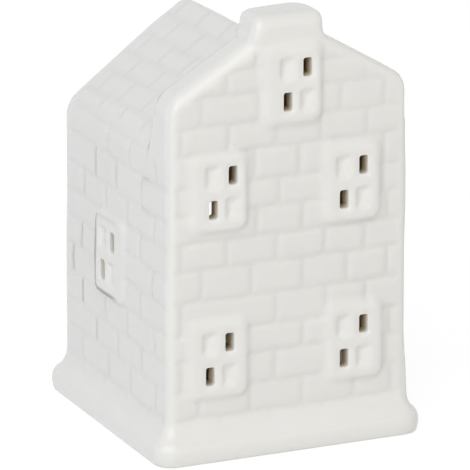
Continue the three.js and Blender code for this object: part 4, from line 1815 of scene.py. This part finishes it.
@dataclass(frozen=True)
class TeaLightWax:
    """Wax with a bore for the wick, and a recess and a socket for the tab's disc and neck."""

    radius: float = 18.2
    bottom: float = 0.5
    top: float = 12.9
    dish: float = 0.7
    climb: float = 0.3
    climb_width: float = 0.7
    bore: float = 1.0
    recess: float = 6.4
    recess_top: float = 1.2
    socket: float = 1.65
    socket_top: float = 4.1
    wave: float = 0.05
    top_steps: int = 34
    columns: int = 192

    def surface(self, radius: float | Array) -> float | Array:
        """Height of the top: a dish with the square of the radius, and a climb at the wick."""
        dished = self.top - self.dish * (1.0 - (radius / self.radius) ** 2)
        return dished + self.climb * np.exp(-(radius - self.bore) / self.climb_width)

    def build(self) -> Piece:
        """Makes the wax.

        The top has three slow waves round the wick, which fade towards the wick and the cup.

        Returns:
            The wax.
        """
        inner = self.bore + 0.25
        outer = self.radius - 0.6
        across = np.linspace(outer, inner, self.top_steps)
        top = np.stack([across, self.surface(across)], axis=1)
        seam = (self.recess, (self.bottom + self.recess_top) / 2.0)
        foot = [(self.recess, self.bottom), (self.radius, self.bottom)]
        outside = eased_corners([seam, *foot, (self.radius, self.top), top[0]], [0.1, 1.2, 0.25])
        corners = [
            top[-1],
            (self.bore, self.surface(self.bore)),
            (self.bore, self.socket_top),
            (self.socket, self.socket_top),
            (self.socket, self.recess_top),
            (self.recess, self.recess_top),
            seam,
        ]
        inside = eased_corners(corners, [0.12, 0.1, 0.1, 0.1, 0.1])
        profile = np.concatenate([outside[:-1], top, inside[1:-1]])
        turn = full_turn(self.columns)
        radius = np.broadcast_to(profile[:, :1], (len(profile), self.columns))
        share = radius / self.radius
        in_upper_half = profile[:, 1:] > self.top / 2.0
        on_top = in_upper_half * share * (1.0 - share) * 4.0
        wave = self.wave * on_top * np.sin(3.0 * turn + 0.6) * np.cos(2.0 * turn)
        points = turned_points(radius, profile[:, 1:] + wave)
        faces = wrapped_faces(len(profile), self.columns, closed=True)
        made = add_mesh("tea_light_wax_dished", points, faces)
        return Piece(made, "tea_light", "tea_light_wax", Slot.CANDLE_WAX).coated(PaleWax())


@dataclass(frozen=True)
class WickTab:
    """Stamped disc with a crimped neck that holds the wick."""

    radius: float = 6.2
    bottom: float = 0.5
    thickness: float = 0.5
    neck_top: float = 3.9
    neck_wall: float = 0.45
    bore: float = 1.0
    crimps: int = 6
    crimp_depth: float = 0.12
    crimped: Ramp = Ramp(1.4, 0.6)
    crimps_end: Ramp = Ramp(0.3, 0.6)
    ring: float = 4.2
    ring_height: float = 0.1
    ring_width: float = 0.5
    columns: int = 96

    def build(self) -> Piece:
        """Makes the tab.

        The dents take a raised cosine of the direction from the neck's outer radius. The disc
        has a ring, a bell curve of the radius.

        Returns:
            The tab.
        """
        neck = self.bore + self.neck_wall
        top = self.bottom + self.thickness
        middle = (neck + self.radius) / 2.0
        corners = [
            (middle, self.bottom),
            (self.radius, self.bottom),
            (self.radius, top),
            (self.ring, top),
            (neck, top),
            (neck, self.neck_top / 2.0),
            (neck, self.neck_top),
            (self.bore, self.neck_top),
            (self.bore, self.bottom),
            (middle - 0.4, self.bottom),
        ]
        profile = eased_corners(corners, [0.2, 0.2, 1.2, 0.4, 0.9, 0.12, 0.12, 0.2])
        radius, height = profile[:, :1], profile[:, 1:]
        outside = Ramp(-0.1, 0.1).at(radius - neck)
        on_neck = self.crimped.at(height) * self.crimps_end.at(self.neck_top - height)
        crimps = raised_cosine(full_turn(self.columns), self.crimps)
        dents = self.crimp_depth * outside * on_neck * crimps
        heights = height + self.ring_height * bell(radius, self.ring, self.ring_width)
        points = turned_points(radius - dents, heights)
        faces = wrapped_faces(len(profile), self.columns, closed=True)
        made = add_mesh("tea_light_tab_crimped", points, faces)
        return Piece(made, "tea_light", "tea_light_wick_tab", Slot.TAB_METAL).coated(TinnedSteel())


@dataclass(frozen=True)
class Wick:
    """Braided wick, straight in the wax and bent over at its free end.

    Attributes:
        wax_top: Height at which it starts to bend.
        free_length: Height of the free end over that.
        lay: Height in which a strand goes once round.
    """

    radius: float = 0.8
    bottom: float = 0.5
    wax_top: float = 12.9
    free_length: float = 7.0
    bend: float = 1.6
    strands: int = 3
    valley_depth: float = 0.13
    lay: float = 5.4
    tip: float = 0.55
    rows: int = 190
    columns: int = 30

    def build(self) -> Piece:
        """Makes the wick.

        Its middle line leans over with the square of the share of the free length. Strands run
        round it both ways, and the radius follows the higher of the two at each point. Both ends
        close with the arc of an ellipse.

        Returns:
            The wick.
        """
        height = np.linspace(self.bottom, self.wax_top + self.free_length, self.rows + 2)
        share = np.clip((height - self.wax_top) / self.free_length, 0.0, 1.0)
        lean = self.bend * share**2
        slope = 2.0 * self.bend * share / self.free_length
        steep = np.hypot(1.0, slope)
        turn = full_turn(self.columns)
        twist = 2.0 * np.pi * height[1:-1, None] / self.lay
        rising = np.abs(np.cos(self.strands * (turn - twist) / 2.0))
        falling = np.abs(np.cos(self.strands * (turn + twist) / 2.0))
        strand = np.maximum(rising, falling)
        to_end = np.minimum(height - height[0], (height[-1] - height) * steep)
        closing = np.sqrt(1.0 - (1.0 - np.clip(to_end / self.tip, 0.0, 1.0)) ** 2)[1:-1, None]
        radius = (self.radius - self.valley_depth * (1.0 - strand)) * closing
        ahead = (1.0 / steep)[1:-1, None]
        aside = (slope / steep)[1:-1, None]
        points = np.stack([
            lean[1:-1, None] + radius * np.cos(turn) * ahead,
            radius * np.sin(turn),
            height[1:-1, None] - radius * np.cos(turn) * aside,
        ], axis=2).reshape(-1, 3)
        poles = np.array([[0.0, 0.0, height[0]], [lean[-1], 0.0, height[-1]]])
        # How deep in the valleys between strands, for the painted shade there.
        valley_shade = np.concatenate([(1.0 - strand).ravel(), [0.0, 0.0]])
        faces = wrapped_faces(self.rows, self.columns, closed=False)
        points = np.concatenate([points, poles])
        made = add_mesh("tea_light_wick_braided", points, faces, {"valley_shade": valley_shade})
        wick = Piece(made, "tea_light", "tea_light_wick", Slot.WICK_COTTON)
        return wick.coated(BraidedCotton())


@dataclass(frozen=True)
class TeaLight:
    """The tea light: a cup with wax, and a wick held by its tab."""

    cup: TeaLightCup = TeaLightCup()
    wax: TeaLightWax = TeaLightWax()
    tab: WickTab = WickTab()
    wick: Wick = Wick()

    def build(self) -> list[Piece]:
        """Makes the tea light's pieces from the outside in."""
        return [self.cup.build(), self.wax.build(), self.tab.build(), self.wick.build()]


# Finishes

class Nodes:
    """Short ways to add and link the nodes of a tree."""

    def __init__(self, tree: bpy.types.NodeTree) -> None:
        """Empties the tree."""
        self.tree = tree
        self.tree.nodes.clear()

    def add(
        self, kind: str, inputs: dict[str | int, object] | None = None, **settings: object
    ) -> bpy.types.Node:
        """Adds a node.

        Args:
            kind: Its type, without the ShaderNode in front.
            inputs: For its inputs by name or number, an output to link or a value.
            settings: Its properties.

        Returns:
            The node.
        """
        node = self.tree.nodes.new("ShaderNode" + kind)
        for title, value in settings.items():
            setattr(node, title, value)
        for key, value in (inputs or {}).items():
            self.feed(node, key, value)
        return node

    def feed(self, node: bpy.types.Node, key: str | int, value: object) -> None:
        """Links an output to a node's input, or sets the input to a value.

        Args:
            node: The node.
            key: Name or number of its input.
            value: The output or value.
        """
        if isinstance(value, Socket):
            self.tree.links.new(value, node.inputs[key])
        else:
            node.inputs[key].default_value = value

    def combine(self, operation: str, first: Socket, second: Socket | float) -> Socket:
        """Applies a Math operation to two values."""
        return self.add("Math", {0: first, 1: second}, operation=operation).outputs[0]

    def seen(self) -> Socket:
        """Gives 1 for rays of the camera and of reflections, or through clear things, else 0.

        Returns:
            The value.
        """
        path = self.add("LightPath").outputs
        either = self.combine("MAXIMUM", path["Is Camera Ray"], path["Is Glossy Ray"])
        return self.combine("MAXIMUM", either, path["Is Transmission Ray"])

    def mixed_shader(self, share: Socket, first: Socket, second: Socket) -> Socket:
        """Mixes two shaders by a share."""
        return self.add("MixShader", {0: share, 1: first, 2: second}).outputs["Shader"]


class NodeBench(Nodes):
    """Nodes of one material around a Principled shader."""

    def __init__(self, name: str) -> None:
        """Starts a material with a Principled shader and its output.

        Args:
            name: Name of the material.
        """
        self.material = bpy.data.materials.new(name)
        self.material.use_nodes = True
        super().__init__(self.material.node_tree)
        self.shader = self.add("BsdfPrincipled")
        surface = self.shader.outputs["BSDF"]
        self.output = self.add("OutputMaterial", {"Surface": surface})
        self.place = self.add("TexCoord").outputs["Object"]

    def set(self, **values: object) -> None:
        """Sets or links the Principled shader's sockets, with spaces written as underscores."""
        for title, value in values.items():
            self.feed(self.shader, title.replace("_", " "), value)

    def attribute(self, name: str) -> Socket:
        """Value of a mesh attribute."""
        return self.add("Attribute", attribute_name=name).outputs["Fac"]

    def noise(
        self, scale: float, detail: float = 3.0, rough: float = 0.5, stretch: float = 1.0
    ) -> Socket:
        """Soft noise on Object coordinates.

        Args:
            scale: Its waves for each metre.
            detail: Number of finer layers of noise.
            rough: Strength of each layer against the one before.
            stretch: Share of the waves that is left upwards, which draws the noise out.

        Returns:
            Its value.
        """
        drawn = self.add("Mapping", {"Vector": self.place, "Scale": (1.0, 1.0, stretch)})
        inputs = {"Vector": drawn.outputs[0], "Scale": scale, "Detail": detail, "Roughness": rough}
        return self.add("TexNoise", inputs).outputs["Fac"]

    def spread(
        self, source: Socket, low: float, high: float, start: float = 0.0, end: float = 1.0
    ) -> Socket:
        """Maps a value from start..end to low..high, held at both ends."""
        ends = {"From Min": start, "From Max": end, "To Min": low, "To Max": high}
        return self.add("MapRange", {"Value": source, **ends}).outputs["Result"]

    def mixed(self, factor: Socket, first: Colour | Socket, second: Colour | Socket) -> Socket:
        """Mixes two colours by a value.

        Args:
            factor: Share of the second.
            first, second: The colours.

        Returns:
            The mixed colour.
        """
        inputs = {"Factor": factor}
        for key, colour in (("A", first), ("B", second)):
            inputs[key] = (*colour, 1.0) if isinstance(colour, tuple) else colour
        return self.add("Mix", inputs, data_type="RGBA").outputs["Result"]

    def coat(self, tone: Socket, rough: Socket, bumps: Socket, bump: Pair) -> None:
        """Links the shader's colour, roughness and normal.

        Args:
            tone: The colour.
            rough: The roughness.
            bumps: What raises the surface.
            bump: Strength of the bumps, and their height in metres.
        """
        inputs = {"Strength": bump[0], "Distance": bump[1], "Height": bumps}
        normal = self.add("Bump", inputs).outputs["Normal"]
        self.set(Base_Color=tone, Roughness=rough, Normal=normal)


@dataclass(frozen=True)
class Finish:
    """What every finish has. Its own class says how its material is dressed.

    Attributes:
        roughness: Least and most roughness.
        bump: Strength of its bumps, and their height in metres.
    """

    name: str
    roughness: Pair
    bump: Pair

    def material(self) -> bpy.types.Material:
        """Builds the material.

        Returns:
            The material.
        """
        bench = NodeBench(self.name)
        self.dress(bench)
        return bench.material

    def dress(self, bench: NodeBench) -> None:
        """Leaves the material plain."""


@dataclass(frozen=True)
class GlazedPorcelain(Finish):
    """Warm white porcelain under a clear glossy glaze, bare at the foot rim.

    Attributes:
        joint_glaze_and_shade: Tone in the joints, partly glaze that pools there and partly painted
            shade.
        warmth: Share by which the tone's slow clouds are brighter.
        hollow_shade_span: Share of a reveal where the painted hollow shade begins, and where it is
            full.
        bare_span: Heights between which the glaze begins, in metres.
    """

    name: str = "glazed_porcelain"
    roughness: Pair = (0.20, 0.28)
    bump: Pair = (0.25, 0.00012)
    body: Colour = (0.852, 0.838, 0.809)
    joint_glaze_and_shade: Colour = (0.774, 0.761, 0.734)
    warmth: float = 1.012
    # Tone of the painted shade lines.
    shade: Colour = (0.21, 0.21, 0.20)
    # Warm brown painted shade of the reveals and the hollow.
    within: Colour = (0.73, 0.60, 0.40)
    hollow_shade_span: Pair = (0.12, 0.62)
    bare: Colour = (0.72, 0.70, 0.66)
    bare_roughness: float = 0.75
    bare_span: Pair = (0.00005, 0.0004)

    def dress(self, bench: NodeBench) -> None:
        """Mixes tones by joint, cloud, painted shade in lines and reveals, and foot; ripples
        glaze.

        Args:
            bench: Nodes of the material.
        """
        # Joint tone: partly glaze that pools in the joints, partly painted shade.
        in_joint = bench.spread(bench.attribute("groove"), 0.0, 0.9)
        tone = bench.mixed(in_joint, self.body, self.joint_glaze_and_shade)
        warm = tuple(channel * self.warmth for channel in self.body)
        tone = bench.mixed(bench.spread(bench.noise(38.0, 2.0), 0.0, 0.5, 0.3, 0.7), tone, warm)
        # Painted shade lines in narrow joints, under the left window and along the gable.
        tone = bench.mixed(bench.attribute("painted_shade"), tone, self.shade)
        # Painted shade that deepens into the reveals and fills the hollow.
        deep = bench.spread(bench.attribute("inside"), 0.0, 0.95, *self.hollow_shade_span)
        tone = bench.mixed(deep, tone, self.within)
        height = bench.add("SeparateXYZ", {"Vector": bench.place}).outputs["Z"]
        at_foot = bench.spread(height, 1.0, 0.0, *self.bare_span)
        tone = bench.mixed(at_foot, tone, self.bare)
        wave = bench.spread(bench.noise(120.0), *self.roughness)
        bare_rough = bench.combine("MULTIPLY", at_foot, self.bare_roughness)
        rough = bench.combine("MAXIMUM", wave, bare_rough)
        bench.coat(tone, rough, bench.noise(260.0, 2.0), self.bump)
        bench.set(IOR=1.5, Subsurface_Weight=0.12, Subsurface_Scale=0.002)
        bench.set(Subsurface_Radius=(1.0, 0.85, 0.6))


@dataclass(frozen=True)
class PressedAluminium(Finish):
    """Bright thin aluminium with fine marks from the press, drawn up the wall."""

    name: str = "pressed_aluminium"
    roughness: Pair = (0.20, 0.40)
    bump: Pair = (0.2, 0.00003)
    bright: Colour = (0.86, 0.865, 0.87)
    dull: Colour = (0.72, 0.725, 0.735)

    def dress(self, bench: NodeBench) -> None:
        """Clouds the tone, and lets roughness and bumps follow the drawn marks.

        Args:
            bench: Nodes of the material.
        """
        drawn = bench.noise(2600.0, 3.0, 0.6, stretch=0.05)
        cloud = bench.spread(bench.noise(150.0), 0.0, 1.0, 0.35, 0.7)
        rough = bench.spread(drawn, *self.roughness, 0.3, 0.7)
        bench.coat(bench.mixed(cloud, self.bright, self.dull), rough, drawn, self.bump)
        bench.set(Metallic=1.0)


@dataclass(frozen=True)
class PaleWax(Finish):
    """Off-white paraffin wax with faint clouds where it cooled unevenly."""

    name: str = "pale_wax"
    roughness: Pair = (0.30, 0.52)
    bump: Pair = (0.3, 0.0002)
    clear: Colour = (0.86, 0.85, 0.80)
    clouded: Colour = (0.90, 0.89, 0.865)

    def dress(self, bench: NodeBench) -> None:
        """Lets tone and bumps follow the clouds, and the roughness a finer grain.

        Args:
            bench: Nodes of the material.
        """
        cloud = bench.noise(210.0, 4.0, 0.6)
        tone = bench.mixed(bench.spread(cloud, 0.0, 1.0, 0.35, 0.65), self.clear, self.clouded)
        rough = bench.spread(bench.noise(900.0), *self.roughness, 0.3, 0.7)
        bench.coat(tone, rough, cloud, self.bump)
        bench.set(IOR=1.43, Subsurface_Weight=0.4, Subsurface_Scale=0.002)
        bench.set(Subsurface_Radius=(1.0, 0.85, 0.65))


@dataclass(frozen=True)
class TinnedSteel(Finish):
    """Stamped steel with a thin dull coat of tin."""

    name: str = "tinned_steel"
    roughness: Pair = (0.26, 0.50)
    bump: Pair = (0.15, 0.00004)
    bright: Colour = (0.66, 0.665, 0.67)
    dull: Colour = (0.50, 0.50, 0.505)

    def dress(self, bench: NodeBench) -> None:
        """Lets tone, roughness and bumps follow the same spots.

        Args:
            bench: Nodes of the material.
        """
        spots = bench.noise(520.0, 4.0, 0.65)
        tone = bench.mixed(bench.spread(spots, 0.0, 1.0, 0.35, 0.65), self.bright, self.dull)
        bench.coat(tone, bench.spread(spots, *self.roughness, 0.3, 0.7), spots, self.bump)
        bench.set(Metallic=1.0)


@dataclass(frozen=True)
class BraidedCotton(Finish):
    """Off-white cotton strands, primed with wax, with painted shade in the valleys between them.
    """

    name: str = "braided_cotton"
    roughness: Pair = (0.70, 0.95)
    bump: Pair = (0.6, 0.00008)
    strand: Colour = (0.82, 0.79, 0.71)
    # Tone of the painted shade in the valleys.
    valley_shade: Colour = (0.52, 0.48, 0.40)
    paleness: float = 1.08

    def dress(self, bench: NodeBench) -> None:
        """Paints shade in the valleys, and lets paler fibres, roughness and bumps follow one
        noise.

        Args:
            bench: Nodes of the material.
        """
        fibre = bench.noise(5200.0, 4.0, 0.7, stretch=0.35)
        depth = bench.spread(bench.attribute("valley_shade"), 0.0, 1.0)
        tone = bench.mixed(depth, self.strand, self.valley_shade)
        pale = tuple(channel * self.paleness for channel in self.strand)
        tone = bench.mixed(bench.spread(fibre, 0.0, 0.4, 0.35, 0.65), tone, pale)
        bench.coat(tone, bench.spread(fibre, *self.roughness, 0.3, 0.7), fibre, self.bump)
        bench.set(Sheen_Weight=0.25)


# Studio

@dataclass(frozen=True)
class Lamp:
    """A square lamp that faces the house, with its place, side and aim in metres."""

    name: str
    place: Triple
    size: float
    power: float
    colour: Colour
    aim: Triple = (0.0, 0.0, 0.06)

    def hang(self) -> None:
        """Puts the lamp into the scene, turned to its aim."""
        light = bpy.data.lights.new(self.name, "AREA")
        light.shape = "SQUARE"
        light.size = self.size
        light.energy = self.power
        light.color = self.colour
        lamp = bpy.data.objects.new(self.name, light)
        towards = Vector(self.aim) - Vector(self.place)
        turned = towards.to_track_quat("-Z", "Y").to_matrix().to_4x4()
        lamp.matrix_world = Matrix.Translation(self.place) @ turned
        bpy.context.scene.collection.objects.link(lamp)


@dataclass(frozen=True)
class Studio:
    """Camera, white surroundings and soft lamps.

    The camera's angles are in degrees and its place and aim in metres. Lens, sensor and the
    floor's sizes are in millimetres.

    Attributes:
        aim_right: How far the camera aims right of the house's middle.
        floor_glow: Strength of the glow that whitens the floor where it is seen.
        glow_share: Share of that glow, against the lit floor that keeps the shadow.
    """

    azimuth: float = -24.053
    elevation: float = 17.244
    distance: float = 2.0
    lens: float = 493.4
    sensor: float = 36.0
    aim_height: float = 0.056902
    aim_right: float = 0.000529
    floor_gap: float = 0.05
    floor_half: float = 6000.0
    floor_tone: Colour = (0.86, 0.86, 0.86)
    floor_glow: float = 1.3
    glow_share: float = 0.6
    sky_strength: float = 0.505
    sky_colour: Colour = (0.98, 0.985, 1.0)
    lamps: tuple[Lamp, ...] = (
        Lamp("key_lamp", (-0.75, -0.94, 0.98), 1.5, 11.6, (0.985, 0.993, 1.0)),
        Lamp("left_lamp", (-1.5, 0.3, 0.35), 0.8, 1.0, (0.50, 0.80, 1.0)),
        Lamp("front_lamp", (0.3, -1.5, 0.2), 0.8, 1.4, (1.0, 0.90, 0.55)),
    )

    def camera(self) -> None:
        """Stands the camera where the photograph was taken."""
        turn = np.radians(self.azimuth)
        lift = np.radians(self.elevation)
        level = np.cos(lift)
        back = Vector((np.sin(turn) * level, -np.cos(turn) * level, np.sin(lift)))
        right = Vector((np.cos(turn), np.sin(turn), 0.0))
        upward = back.cross(right)
        aim = Vector((0.0, 0.0, self.aim_height)) + right * self.aim_right
        lens = bpy.data.cameras.new("camera")
        lens.sensor_width = self.sensor
        lens.lens = self.lens
        camera = bpy.data.objects.new("camera", lens)
        turned = Matrix((right, upward, back)).transposed().to_4x4()
        camera.matrix_world = Matrix.Translation(aim + back * self.distance) @ turned
        bpy.context.scene.collection.objects.link(camera)
        bpy.context.scene.camera = camera

    def surroundings(self) -> None:
        """Lights the object by a plain sky that the camera and reflections see as white."""
        world = bpy.data.worlds.new("studio_sky")
        world.use_nodes = True
        nodes = Nodes(world.node_tree)
        sky = {"Color": (*self.sky_colour, 1.0), "Strength": self.sky_strength}
        light = nodes.add("Background", sky).outputs["Background"]
        white = nodes.add("Background", {"Color": (1.0, 1.0, 1.0, 1.0)})
        surface = nodes.mixed_shader(nodes.seen(), light, white.outputs["Background"])
        nodes.add("OutputWorld", {"Surface": surface})
        bpy.context.scene.world = world

    def floor(self) -> None:
        """Lays a white floor that keeps the object's shadow."""
        bench = NodeBench("white_floor")
        bench.set(Base_Color=(*self.floor_tone, 1.0), Roughness=0.9)
        glow = bench.add("Emission", {"Strength": self.floor_glow}).outputs["Emission"]
        share = bench.combine("MULTIPLY", bench.seen(), self.glow_share)
        surface = bench.mixed_shader(share, bench.shader.outputs["BSDF"], glow)
        bench.feed(bench.output, "Surface", surface)
        half = self.floor_half
        corners = np.array([[-half, -half], [half, -half], [half, half], [-half, half]])
        corners = np.column_stack([corners, np.full(4, -self.floor_gap)])
        floor = add_mesh("floor", corners, [[0, 1, 2, 3]])
        floor.data.materials.append(bench.material)

    def build(self) -> None:
        """Sets up everything but the object."""
        self.camera()
        self.surroundings()
        self.floor()
        for lamp in self.lamps:
            lamp.hang()
        bpy.context.scene.view_settings.view_transform = "Standard"


def main() -> None:
    """Builds the studio and the holder, and reports each piece."""
    logging.basicConfig(level=logging.INFO, format="%(message)s")
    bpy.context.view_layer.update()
    Studio().build()
    for piece in [*TeaLight().build(), PorcelainHouse().build()]:
        piece.join()


if __name__ == "__main__":
    main()
